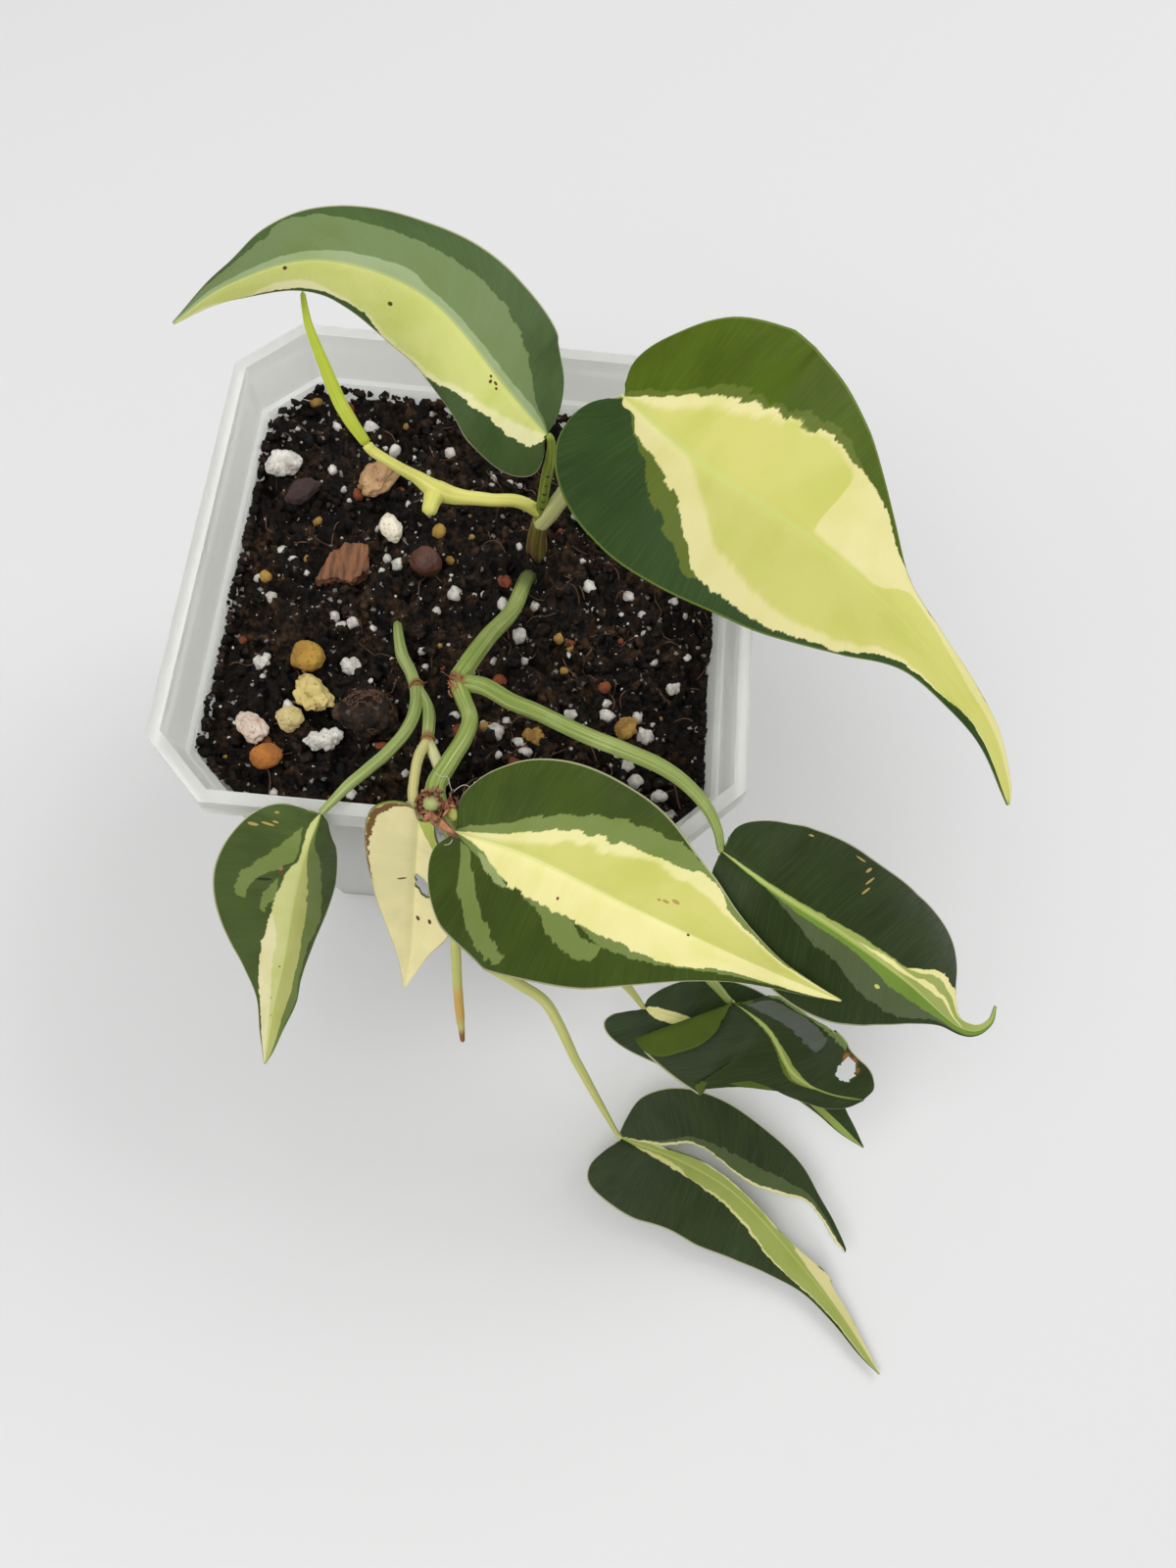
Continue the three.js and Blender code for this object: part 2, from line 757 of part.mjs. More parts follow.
const BACK_SHOOT = {
  main: {
    points: [
      [10, 13.8, 56],
      [10, 13.4, 70],
      [10, 13.2, 78],
      [10.5, 13.3, 84],
    ],
    radii: [1.7, 1.7, 2.1, 1.8],
  },
  petiole_1: {
    points: [
      [10.5, 13.3, 82],
      [10.9, 12.6, 89],
      [11.7, 9.4, 101],
      [12.7, 6.6, 112],
      [12.5, 5.8, 117],
    ],
    radii: [1.3, 1.05, 1, 1, 0.9],
  },
  petiole_2: {
    points: [
      [10.5, 13.3, 82],
      [12.6, 12.3, 88],
      [14.9, 11.4, 95],
      [18.5, 10.6, 108],
      [21.6, 8.8, 120],
      [23.2, 6.9, 126.6],
    ],
    radii: [1.7, 1.5, 1.5, 1.4, 1.2],
  },
  new_shoot: {
    points: [
      [10.8, 13, 86],
      [6.8, 12.3, 90],
      [1.8, 10.7, 92],
      [-5.1, 10.2, 93],
      [-7.7, 10.3, 94],
      [-11.1, 11.1, 96],
      [-15.1, 11.3, 99],
      [-18.8, 12.4, 101],
    ],
    radii: [1.2, 1.2, 1.1, 1.2, 1.8, 1.1, 0.9, 0.9],
  },
  stub: {
    points: [
      [-7.6, 10.3, 94],
      [-8.2, 7.6, 93.6],
      [-8.6, 5.3, 93],
    ],
    radii: [1.4, 1.1, 1],
  },
};
const NEW_SHEATH = {
  points: [
    [-19.2, 12.7, 101.6],
    [-21, 13.9, 104],
    [-23.5, 16, 107.5],
    [-26.3, 19.7, 113],
    [-28.6, 23.1, 118],
    [-29.8, 27.2, 121],
  ],
  radii: [0.9, 1.2, 1.1, 0.9, 0.7, 0.4],
};
const AERIAL_ROOT = {
  points: [
    [3.3, -61.9, 70.2],
    [3.7, -65.6, 65],
    [4, -68.6, 60],
    [4.6, -72.6, 53],
    [5.3, -76.5, 46],
  ],
  radii: [0.9, 0.9, 0.85, 0.8, 0.4],
};

const stalks = (parts, extra) =>
  join(Object.values(parts).map(({ points, radii }) => stem(points, radii.map((r) => r + extra))));

// the room a blade needs: wider by the gap on both faces, at its base and along its sides
function clearance(name) {
  const room = leafBody(name, BLADE + 2 * GAP + 0.1);
  const { along, right } = midrib(LEAVES[name]).at(0);
  const steps = [along.negate(), right, right.clone().negate()];
  return join([room, ...steps.map((step) => room.translate(step.multiplyScalar(GAP + 0.1).toArray()))]);
}

// the stalks of a plant, kept clear of the blades that they carry
function stalkBody(parts, leaves) {
  return largest(stalks(parts, 0).subtract(join(leaves.map(clearance))));
}

// the mix and what lies in it
function soilHeight(x, y) {
  const lumps = 0.6 * Math.sin(0.31 * x + 1.3) * Math.cos(0.27 * y) + 0.4 * Math.sin(0.6 * x - 0.45 * y);
  return SOIL_TOP - (SOIL_FALL_X * x) / BELOW_LEDGE + (SOIL_FALL_Y * y) / BELOW_LEDGE + lumps;
}

function octagonReach(angle, half, cut) {
  const cos = Math.abs(Math.cos(angle));
  const sin = Math.abs(Math.sin(angle));
  return Math.min(half / cos, half / sin, (2 * half - cut) / (cos + sin));
}

// stones and lumps: place, radii, turn about the vertical, height above the surface, colour
const STONES = {
  bark_chip: { at: [-26.6, 4.1], radii: [4.4, 4, 1.6], turn: 70, lift: 1.2, color: 0x7a4a2e },
  clay_ball: { at: [-10.3, 6.8], radii: [3, 2.9, 2.8], turn: 0, lift: 0.8, color: 0x5d3424 },
  tan_pumice: { at: [-21.7, 23.7], radii: [4.6, 2.8, 2.4], turn: 60, lift: 1, color: 0xb08a62 },
  white_perlite: { at: [-17.8, 13.2], radii: [2.9, 2.1, 2], turn: 115, lift: 1.2, color: 0xe8e2d6 },
  perlite_back_left: { at: [-40, 24.7], radii: [4.2, 3, 2], turn: 20, lift: 0.4, color: 0xcfc8bd },
  dark_bark: { at: [-35.5, 18.7], radii: [3.6, 2.2, 2], turn: 50, lift: 0.8, color: 0x3a2a24 },
  mustard_stone: { at: [-28.7, -16], radii: [3, 2.8, 2.4], turn: 0, lift: 1, color: 0xa8803c },
  pale_stone: { at: [-27, -23.2], radii: [4, 2.6, 2.2], turn: 140, lift: 1, color: 0xc9b173 },
  beige_stone: { at: [-29.8, -28.4], radii: [2.4, 2.2, 2], turn: 0, lift: 0.9, color: 0xc2a878 },
  pink_pumice: { at: [-36.2, -30.4], radii: [3, 2.4, 2.1], turn: 120, lift: 0.9, color: 0xbfa597 },
  orange_stone: { at: [-32.6, -36], radii: [2.8, 2.3, 2.1], turn: 15, lift: 0.6, color: 0x9a5a26 },
  long_perlite: { at: [-23.3, -31.6], radii: [3.8, 1.9, 1.8], turn: 20, lift: 0.8, color: 0xd9d4ca },
  coir_lump: { at: [-16.6, -25.7], radii: [4.6, 4.2, 2.6], turn: 0, lift: 0.6, color: 0x2c221d },
};

function stoneBody({ at: [x, y], radii, turn, lift }, extra, seed) {
  const next = random(seed);
  const shape = mergeVertices(new THREE.IcosahedronGeometry(1, 1).deleteAttribute("normal").deleteAttribute("uv"));
  const place = shape.attributes.position;
  for (let i = 0; i < place.count; i++) {
    const swell = 1 + 0.24 * (next() - 0.5);
    place.setXYZ(i, place.getX(i) * swell, place.getY(i) * swell, place.getZ(i) * swell);
  }
  shape.scale(radii[0] + extra, radii[1] + extra, radii[2] + extra);
  shape.rotateZ(THREE.MathUtils.degToRad(turn));
  shape.translate(x, y, soilHeight(x, y) + lift);
  return solid(shape);
}

const SOIL_SIDES = 36;
const SOIL_RINGS = [0.93, 0.82, 0.7, 0.57, 0.43, 0.28, 0.12];
const LOW_Z = FLOOR + GAP;

function soilBlock() {
  const low = [];
  const edge = [];
  for (let i = 0; i < SOIL_SIDES; i++) {
    const angle = (i * 2 * Math.PI) / SOIL_SIDES;
    const ring = (half, cut, z) => {
      const reach = octagonReach(angle, half - SOIL_EDGE_GAP, cut);
      const [x, y] = [reach * Math.cos(angle), reach * Math.sin(angle)];
      return new THREE.Vector3(x, y, z ?? 0);
    };
    low.push(ring(innerHalf(LOW_Z), innerCut(LOW_Z), LOW_Z));
    const guess = ring(innerHalf(SOIL_TOP), innerCut(SOIL_TOP));
    const z = soilHeight(guess.x, guess.y);
    edge.push(ring(innerHalf(z), innerCut(z), z));
  }
  const inward = SOIL_RINGS.map((share) =>
    edge.map(({ x, y }) => new THREE.Vector3(x * share, y * share, soilHeight(x * share, y * share))),
  );
  return solid(loft([low, edge, ...inward]));
}

function soil(sockets) {
  const next = random(4127);
  const crumbs = [];
  while (crumbs.length < CRUMB_COUNT) {
    const x = (next() - 0.5) * 80;
    const y = (next() - 0.5) * 80;
    const size = 0.9 + 1.5 * next();
    if (Math.abs(x) + Math.abs(y) > 70) continue;
    const crumb = new THREE.IcosahedronGeometry(size, 0);
    crumb.scale(1, 0.7 + 0.3 * next(), 0.8);
    crumb.rotateX(3 * next());
    crumb.rotateZ(3 * next());
    crumb.translate(x, y, soilHeight(x, y) + 0.1 * size);
    crumbs.push(solid(crumb));
  }
  const rough = soilBlock().add(join(crumbs));
  return largest(rough.subtract(join(sockets)));
}

// a rooted stem's hole, one gap wider than the stem and two gaps deeper
function rootHole({ points, radii }) {
  const hole = stem(points, radii.map((r) => r + GAP));
  return hole.add(hole.translate([0, 0, -2 * GAP]));
}

// the dry papery sheath round the cut stump
function drySheath() {
  const next = random(77);
  const [inner, outer, height] = [1.75, 2.6, 1.6];
  const profile = [
    new THREE.Vector2(inner, 0),
    new THREE.Vector2(outer, 0.2),
    new THREE.Vector2(outer - 0.1, height),
    new THREE.Vector2(inner + 0.1, height - 0.2),
    new THREE.Vector2(inner, 0),
  ];
  const collar = mergeVertices(new THREE.LatheGeometry(profile, 12).deleteAttribute("normal").deleteAttribute("uv"));
  const place = collar.attributes.position;
  for (let i = 0; i < place.count; i++) {
    if (Math.hypot(place.getX(i), place.getZ(i)) > inner + 0.3) {
      const swell = 1 + 0.3 * next();
      place.setXYZ(i, place.getX(i) * swell, place.getY(i) + 0.5 * next(), place.getZ(i) * swell);
    }
  }
  const axis = new THREE.Vector3(-0.1, -0.6, 0.8).normalize();
  collar.applyQuaternion(new THREE.Quaternion().setFromUnitVectors(new THREE.Vector3(0, 1, 0), axis));
  collar.translate(-0.75, -48.9, 94.1);
  const tongue = stem(
    [
      [1.2, -50, 94.6],
      [1.6, -52, 95.8],
      [2.8, -54.4, 97],
      [4.2, -56, 97.6],
    ],
    [0.8, 0.7, 0.5, 0.25],
    6,
    2,
  );
  const beside = stalks(LEFT_STEM, GAP);
  const taken = [stalks(VINE, GAP), beside, beside.translate([0, -GAP, 0]), clearance("leaf_9")];
  return largest(solid(collar).add(tongue).subtract(join(taken)));
}

// the whole plant in its pot
const GREEN = 0x4f7a35;
const group = new THREE.Group();
function add(name, body, color, roughness) {
  const material = new THREE.MeshStandardMaterial({ color, roughness, metalness: 0 });
  const mesh = new THREE.Mesh(body.isBufferGeometry ? body : surface(body), material);
  mesh.name = name;
  group.add(mesh);
}

add("pot", pot(), 0xe9ecea, 0.35);
const stones = Object.entries(STONES);
const sockets = stones.map(([, stone], i) => stoneBody(stone, GAP, 11 + i));
const rooted = [VINE.main, LEFT_STEM.main, BACK_SHOOT.main].map(rootHole);
add("soil", soil([...sockets, ...rooted]), 0x2b201a, 1);
stones.forEach(([name, stone], i) => add(name, stoneBody(stone, 0, 11 + i), stone.color, 0.9));
add("vine", stalkBody(VINE, ["leaf_3", "leaf_4", "leaf_5", "leaf_6", "leaf_7"]), 0x7f9c4f, 0.5);
add("left_stem", stalkBody(LEFT_STEM, ["leaf_8", "leaf_9"]), 0x8fa85a, 0.5);
add("back_shoot", stalkBody(BACK_SHOOT, ["leaf_1", "leaf_2"]), 0x9fb554, 0.5);
add("new_sheath", stem(NEW_SHEATH.points, NEW_SHEATH.radii), 0xc3cf52, 0.5);
add("aerial_root", stem(AERIAL_ROOT.points, AERIAL_ROOT.radii, 6), 0xb9bf6a, 0.6);
add("dry_sheath", drySheath(), 0x7d4a34, 0.9);
for (const name of Object.keys(LEAVES)) add(name, leafBody(name, BLADE), GREEN, 0.45);
export default group;
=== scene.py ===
# A potted gabby philodendron: trailing variegated stems in dark potting mix, in a milky square nursery pot.
# The numbers are in millimetres, in the frame of the solid model: Z up, the origin under the middle of the
# pot, and -Y the side where the stems hang over the rim. Each finished mesh is scaled to metres.

import math
import random

import bmesh
import bpy
import numpy as np
from mathutils import Matrix, Vector, noise


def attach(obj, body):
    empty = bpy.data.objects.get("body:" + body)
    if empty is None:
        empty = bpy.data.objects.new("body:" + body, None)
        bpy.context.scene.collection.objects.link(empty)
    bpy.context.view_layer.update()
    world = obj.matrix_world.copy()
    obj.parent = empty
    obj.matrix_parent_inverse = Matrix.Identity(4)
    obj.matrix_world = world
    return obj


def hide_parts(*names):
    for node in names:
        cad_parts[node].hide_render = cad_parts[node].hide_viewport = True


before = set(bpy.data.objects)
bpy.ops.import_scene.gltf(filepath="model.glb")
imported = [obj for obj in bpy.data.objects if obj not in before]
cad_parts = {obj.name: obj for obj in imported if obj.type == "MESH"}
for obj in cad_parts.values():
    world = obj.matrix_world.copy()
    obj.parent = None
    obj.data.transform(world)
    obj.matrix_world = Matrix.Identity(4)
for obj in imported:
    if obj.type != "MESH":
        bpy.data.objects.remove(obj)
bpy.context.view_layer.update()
random.seed(2209)

METRES = 0.001

# the pot and its mix, with half widths from the middle to a flat side
BASE_HALF = 36
BASE_CUT = 7
WALL = 1
FLOOR = 1.5
LEDGE_Z = 77.7
BELOW_LEDGE = 45.1
BELOW_CUT = 8.8
SOIL_TOP = 74.5
SOIL_FALL_X = 2
SOIL_FALL_Y = 0.8
SOIL_EDGE_GAP = 0.35

# thickness of a blade and half the width of its tip
BLADE = 0.45
TIP_HALF = 0.15

# each blade: points of the midrib, where its face looks at base and tip, and for each half its outline from
# the petiole round the lobe to the tip, how far it rises from the midrib and how it curls up
LEAVES = {
    "leaf_1": {
        "rib": [[12, 5.5, 118], [6, 8, 124], [-8, 18, 132], [-24, 21, 134], [-39.5, 21, 127],
            [-50.5, 21.5, 117]],
        "face": [[0, -0.35, 0.95], [-0.2, -0.3, 0.9]],
        "left": {
            "outline": [[0, 1], [-3.5, 4], [-5, 8], [-3, 12], [3, 14], [12, 15.5], [21, 17], [30, 15.5],
                [42, 9.5], [52, 5.5], [62, 3.2], [70, 1.4]],
            "rise": [-48, -85], "curl": [-1.2, -0.6],
        },
        "right": {
            "outline": [[0, 1], [0.5, 5], [3, 10.5], [10.5, 13.5], [22, 13.5], [33, 11.5], [45, 9.5],
                [55, 6.8], [62, 3.5], [69, 1.6]],
            "rise": [-22, 0], "curl": [-0.6, -0.3],
        },
    },
    "leaf_2": {
        "rib": [[23.5, 6, 128], [30, -0.7, 128.8], [36.9, -6.7, 128.9], [51, -13.8, 126],
            [68.5, -24, 119], [81.5, -34.5, 111], [88, -44, 103]],
        "face": [[0.1, -0.35, 0.93], [0.2, -0.3, 0.9]],
        "left": {
            "outline": [[-1.5, 1.4], [-3.5, 4.7], [-4, 9], [-3, 14.5], [-1, 20], [2.5, 24.5], [8, 27.3],
                [18, 26.9], [28, 24.2], [36, 18.4], [45, 11], [52, 5.5], [60, 3.6], [70, 2.6], [80, 2.2],
                [87, 1.2]],
            "rise": [0, -10], "curl": [-0.45, 0],
        },
        "right": {
            "outline": [[-0.6, 1], [-3.5, 3.2], [-5.5, 7], [-5.5, 11.5], [-3.5, 15], [-0.5, 17.2],
                [5, 18.8], [13, 19.3], [22, 18.4], [31, 17], [38, 15.6], [44, 13.4], [52, 9.6], [60, 5],
                [70, 3], [80, 1.2]],
            "rise": [-28, -10], "curl": [-0.6, 0],
        },
    },
    "leaf_3": {
        "rib": [[45.5, -52.5, 94], [53.5, -57.5, 93], [66, -61.5, 86], [79, -65.5, 76], [92.5, -69.5, 63],
            [96.5, -69, 60.5], [99, -67, 60], [99.5, -64.5, 61]],
        "face": [[0.1, -0.3, 0.94], [0.25, -0.3, 0.9]],
        "left": {
            "outline": [[0, 1.1], [-0.5, 4.5], [2.5, 9], [7, 11.6], [14, 13.5], [21, 15], [30, 15.7],
                [40, 16.3], [50, 15.6], [54.5, 13.5], [56, 10], [56.5, 5.5], [59, 2], [64, 1.2]],
            "rise": [-6, -15], "curl": [-1.5, -1.5],
        },
        "right": {
            "outline": [[0, 0.9], [1, 4], [6, 8.5], [14.5, 12.3], [24.5, 14.2], [34.5, 13.3], [40, 11],
                [45, 8], [50, 4.6], [56, 1.6], [64, 1]],
            "rise": [-8, -15], "curl": [-1.2, -1.2],
        },
    },
    "leaf_4": {
        "rib": [[3.5, -53.3, 94], [14.5, -56.5, 96], [31, -62.5, 94], [47.5, -68, 91.5], [57, -69.5, 86],
            [67.5, -71, 80]],
        "face": [[0.05, -0.4, 0.92], [0.2, -0.35, 0.9]],
        "left": {
            "outline": [[0, 1], [-0.8, 5.5], [1, 9], [4.5, 12.2], [8.5, 14.8], [14, 16.7], [21.5, 17],
                [29, 15.7], [36.5, 11.7], [41, 9.3], [45.5, 6.5], [51, 4], [58, 1.9], [65, 0.8]],
            "rise": [-5, -5], "curl": [-1, -1],
        },
        "right": {
            "outline": [[-0.8, 1], [-2.8, 3.5], [-3.2, 7.5], [-2.2, 12], [0, 16.7], [4.3, 20.4],
                [8.5, 21.9], [15.5, 21.3], [23, 19], [28.5, 16.5], [35, 12], [43, 7], [50, 4], [58, 2.3],
                [65, 1.2]],
            "rise": [-10, -10], "curl": [-1.2, -1],
        },
    },
    "leaf_5": {
        "rib": [[55.5, -64, 44], [62, -68.5, 44], [68, -75, 38], [75.5, -77, 32], [84, -77, 28]],
        "face": [[0.1, -0.4, 0.9], [0.3, -0.4, 0.8]],
        "left": {
            "outline": [[1, 0.8], [2.6, 1.6], [3.6, 3.5], [4.8, 5.3], [6.6, 6.5], [9.2, 7.3], [11.5, 9],
                [14.3, 10.6], [20, 11.6], [26, 11.3], [30.2, 10], [34.5, 7.9], [37.1, 6.4], [39, 4.2],
                [39.6, 2.4]],
            "rise": [5, 0], "curl": [0, 0],
        },
        "right": {
            "outline": [[-0.4, 0.6], [-4, 0.7], [-7.4, 1.4], [-10.4, 3.4], [-12.9, 7.2], [-14.4, 10.7],
                [-13.9, 14], [-11.5, 16.8], [-8.5, 18], [-4, 18.4], [1, 18.3], [7, 17.9], [12.4, 16.6],
                [13.4, 14], [14.2, 11], [15.6, 7.4], [17.5, 5.2], [20.6, 4.2], [25, 3.4], [30.6, 3],
                [35, 2]],
            "rise": [-5, -10], "curl": [0, 0],
        },
        "rolls": [{"u": -9.8, "v": 18, "outward": 212, "radius": 1.2, "turn": 150}],
        "holes": [[32.2, -5.2, 2.2]],
    },
    "leaf_6": {
        "rib": [[39.5, -64.6, 35.8], [49.5, -67.1, 36.4], [61.6, -71.5, 31.3], [74, -76.5, 23.2],
            [80.3, -79.8, 19], [87, -84.3, 15.2]],
        "face": [[0.1, -0.3, 0.9], [0.2, -0.3, 0.9]],
        "left": {
            "outline": [[-0.6, 0.6], [-0.4, 1.8], [1.3, 4], [4.3, 6.4], [7, 8], [11.6, 10.2],
                [18.3, 11.6], [28, 11], [37.4, 8.7], [43, 6.4], [48.3, 3.2], [53, 1.6]],
            "rise": [0, 0], "curl": [-0.5, 0],
        },
        "right": {
            "outline": [[-1, 0.6], [-3.5, 1.8], [-6.2, 3.3], [-7.3, 5], [-6.6, 6.6], [-3.7, 8.3],
                [1.4, 9.4], [7.2, 10], [14, 9.2], [20, 6.8], [28, 3.6], [36, 2], [44, 1.6], [51, 1.4]],
            "rise": [-5, 0], "curl": [-0.5, 0],
        },
    },
    "leaf_7": {
        "rib": [[38, -86, 9], [49.5, -89, 9], [62, -94.5, 7], [76.5, -107, 4], [86, -117, 2.5],
            [93.5, -126.5, 1.5]],
        "face": [[0, -0.1, 1], [0, -0.1, 1]],
        "left": {
            "outline": [[-0.8, 1], [-0.5, 4], [0.8, 8.5], [4.5, 11.8], [10, 14.2], [16, 14.9], [24, 14.3],
                [32, 13.8], [38, 12.2], [44.5, 10.8], [49.5, 9]],
            "inner": [[0, 0.3], [4, 0.6], [9, 1.6], [13.4, 3.9], [17, 4.2], [23, 3.3], [27.5, 3.6],
                [33, 6.4], [37, 9.2], [42, 9.3], [46.5, 8.4]],
            "rise": [3, 3], "curl": [0, 0],
        },
        "strip": {
            "outline": [[-0.8, 1], [1, 1.2], [4, 1], [9, 1], [17, 1.8], [22, 1.6], [30, 1.2], [38, 1.1],
                [46, 2], [51, 3], [53, 2.2], [57, 1.8], [63, 1]],
            "rise": [0, 0], "curl": [0, 0],
        },
        "right": {
            "outline": [[-0.6, 1], [-2.8, 3.8], [-4.6, 7.4], [-3.9, 10.4], [1, 13], [7, 14.4], [16, 13.6],
                [27, 13], [35, 10], [42, 6.6], [50, 3.4], [58, 2.2], [66, 1.4]],
            "rise": [-3, -3], "curl": [-0.3, -0.3],
        },
        "flap": [49.5, 8.8],
    },
    "leaf_8": {
        "rib": [[-18.5, -51.5, 91], [-20.5, -56.5, 87], [-23, -62, 78], [-25.5, -69, 66],
            [-28, -75.5, 56], [-30, -83.5, 46]],
        "face": [[0.1, -0.75, 0.65], [0.1, -0.9, 0.4]],
        "left": {
            "outline": [[0.4, 0.9], [2, 3.4], [6.5, 6.6], [13, 8.7], [19, 9.4], [25, 8], [31, 5.8],
                [38, 4.6], [44, 4.6], [50, 2.6], [54.5, 1.2]],
            "rise": [-55, -30], "curl": [-1, 0],
        },
        "right": {
            "outline": [[0, 1], [0, 3.4], [0.6, 6.2], [2.4, 8.8], [5.6, 11.1], [10, 12.8], [16, 13.7],
                [22, 12.8], [29, 10], [36, 6.2], [42, 3.2], [50, 1.6]],
            "rise": [-5, 0], "curl": [-1, 0],
        },
    },
    "leaf_9": {
        "rib": [[-2.6, -51.6, 92.5], [-3.7, -55, 80], [-4.6, -59, 67], [-5.4, -63, 56], [-6.7, -67.5, 47]],
        "face": [[0.05, -0.85, 0.4], [0.1, -0.95, 0.3]],
        "left": {
            "outline": [[-0.4, 0.9], [-1, 2.2], [3, 3], [8, 4.6], [15, 6], [23, 6.8], [31, 6.6],
                [37, 3.8], [43, 1.8]],
            "rise": [10, 10], "curl": [1, 1],
        },
        "right": {
            "outline": [[-1.8, 0.9], [-4.6, 1.6], [-5.6, 4.6], [-4.6, 7], [-1, 8.2], [5, 8.3], [12, 7.6],
                [21, 6.4], [30, 4.5], [40, 2.1]],
            "rise": [10, 10], "curl": [1, 1],
        },
        "holes": [[17.5, -3.6, 1.1]],
    },
}

# stems: points, and radii at even steps along them
VINE = {
    "main": {
        "points": [[9.5, 7.5, 56], [9.3, 7.2, 68], [9, 7, 74], [7.2, -4.4, 80], [4, -13, 85],
            [1, -21.3, 88], [0.1, -24.2, 89], [1.6, -28.1, 90], [3.2, -32, 91], [2.9, -36, 92],
            [1, -41, 92.7], [-0.7, -45.6, 92.8], [0, -48.6, 92.4], [3.4, -52, 88.6], [5, -56, 81],
            [5, -60, 72], [8, -61.5, 67], [15, -61.5, 63], [25, -60, 59]],
        "radii": [1.5, 1.4, 1.3, 1.4, 1.5, 1.65, 1.35, 1.45, 1.7, 1.75, 1.5, 1.7, 1.4, 1.4],
    },
    "stump": {
        "points": [[-0.6, -47, 92.6], [-0.7, -48.6, 93.8], [-0.8, -49.8, 95.6]],
        "radii": [1.3, 1.4, 1.35],
    },
    "petiole_3": {
        "points": [[0.4, -24.6, 89], [4.8, -26, 91], [10.2, -29.5, 93], [14.8, -32, 95], [21.2, -35.6, 97],
            [28.8, -38.6, 98], [34.4, -40.6, 98], [39.3, -43.2, 97], [42.6, -46.3, 96], [44.6, -49.4, 94.6],
            [45.4, -51.6, 93]],
        "radii": [1.5, 1.4, 1.35, 1.3, 1.2, 1],
    },
    "petiole_4": {
        "points": [[0, -48.6, 92.4], [1.8, -50.8, 92.9], [3.2, -52.7, 93]],
        "radii": [1.2, 1, 0.8],
    },
    "petiole_5": {
        "points": [[25, -60, 59], [37, -57.5, 57], [46, -58.4, 51.5], [49.8, -60.6, 48], [55, -63.8, 43.2]],
        "radii": [1.2, 1.2, 1.2, 1],
    },
    "petiole_6": {
        "points": [[22, -60.4, 60], [29, -60.5, 50], [35, -62, 41.4], [39.1, -64.4, 35.2]],
        "radii": [0.9, 0.9, 0.9, 0.8],
    },
    "petiole_7": {
        "points": [[5, -60, 72], [8, -64.5, 60.5], [14.5, -66.5, 54], [19.6, -68, 48], [27, -75.3, 30],
            [34.3, -82.4, 13.5], [37.4, -85.4, 8]],
        "radii": [1.1, 1, 1, 0.9, 0.8],
    },
}
LEFT_STEM = {
    "main": {
        "points": [[-14.6, -3, 56], [-14.4, -4, 66], [-14, -6.2, 74], [-11.8, -14.2, 78], [-9.2, -19.4, 81],
            [-7.7, -22.7, 82], [-4.8, -28, 85], [-3.8, -33, 87.5], [-3.6, -35.4, 88], [-2.2, -38, 88],
            [-0.6, -41.2, 88.3], [0.4, -43.8, 88.6]],
        "radii": [0.7, 0.6, 0.65, 0.9, 1.15, 1.05, 1.05, 1.05, 0.95, 0.9],
    },
    "petiole_8": {
        "points": [[-7.7, -22.7, 82], [-6.7, -28.8, 86], [-7.1, -33.3, 88], [-9.2, -38.6, 90],
            [-12, -43.1, 91.6], [-14.4, -46, 91.8], [-18.2, -50.8, 90.8]],
        "radii": [1.1, 1.05, 1.05, 1.05, 0.9],
    },
    "petiole_9": {
        "points": [[-3.6, -35.4, 88], [-4.4, -39, 89.6], [-4.4, -44.1, 91.4], [-3.9, -48.4, 93],
            [-3, -50.6, 92.8]],
        "radii": [0.9, 0.85, 0.85, 0.8],
    },
}
BACK_SHOOT = {
    "main": {
        "points": [[10, 13.8, 56], [10, 13.4, 70], [10, 13.2, 78], [10.5, 13.3, 84]],
        "radii": [1.7, 1.7, 2, 1.5],
    },
    "petiole_1": {
        "points": [[10.5, 13.3, 82], [10.9, 12.6, 89], [11.7, 9.4, 101], [12.7, 6.6, 112], [12.5, 5.8, 117]],
        "radii": [1.3, 1.05, 1, 1, 0.9],
    },
    "petiole_2": {
        "points": [[10.5, 13.3, 82], [12.6, 12.3, 88], [14.9, 11.4, 95], [18.5, 10.6, 108],
            [21.6, 8.8, 120], [23.2, 6.9, 126.6]],
        "radii": [1.7, 1.55, 1.5, 1.4, 0.7],
    },
    "new_shoot": {
        "points": [[10.8, 13, 86], [6.8, 12.3, 90], [1.8, 10.7, 92], [-5.1, 10.2, 93], [-7.7, 10.3, 94],
            [-11.1, 11.1, 96], [-15.1, 11.3, 99], [-18.8, 12.4, 101], [-19.6, 12.9, 102.2]],
        "radii": [1.2, 1.2, 1.1, 1.2, 1.8, 1.1, 0.9, 0.9],
    },
    "stub": {
        "points": [[-7.6, 10.3, 94], [-8.2, 7.6, 93.6], [-8.6, 5.3, 93]],
        "radii": [2.1, 1.5, 1.15],
    },
}
NEW_SHEATH = {
    "points": [[-19.2, 12.7, 101.6], [-21, 13.9, 104], [-23.5, 16, 107.5], [-26.3, 19.7, 113],
        [-28.6, 23.1, 118], [-29.8, 27.2, 121]],
    "radii": [0.9, 1.2, 1.1, 0.9, 0.7, 0.4],
}
AERIAL_ROOT = {
    "points": [[3.3, -61.9, 70.2], [3.7, -65.6, 65], [4, -68.6, 60], [4.6, -72.6, 53], [5.3, -76.5, 46]],
    "radii": [0.9, 0.9, 0.85, 0.8, 0.4],
}

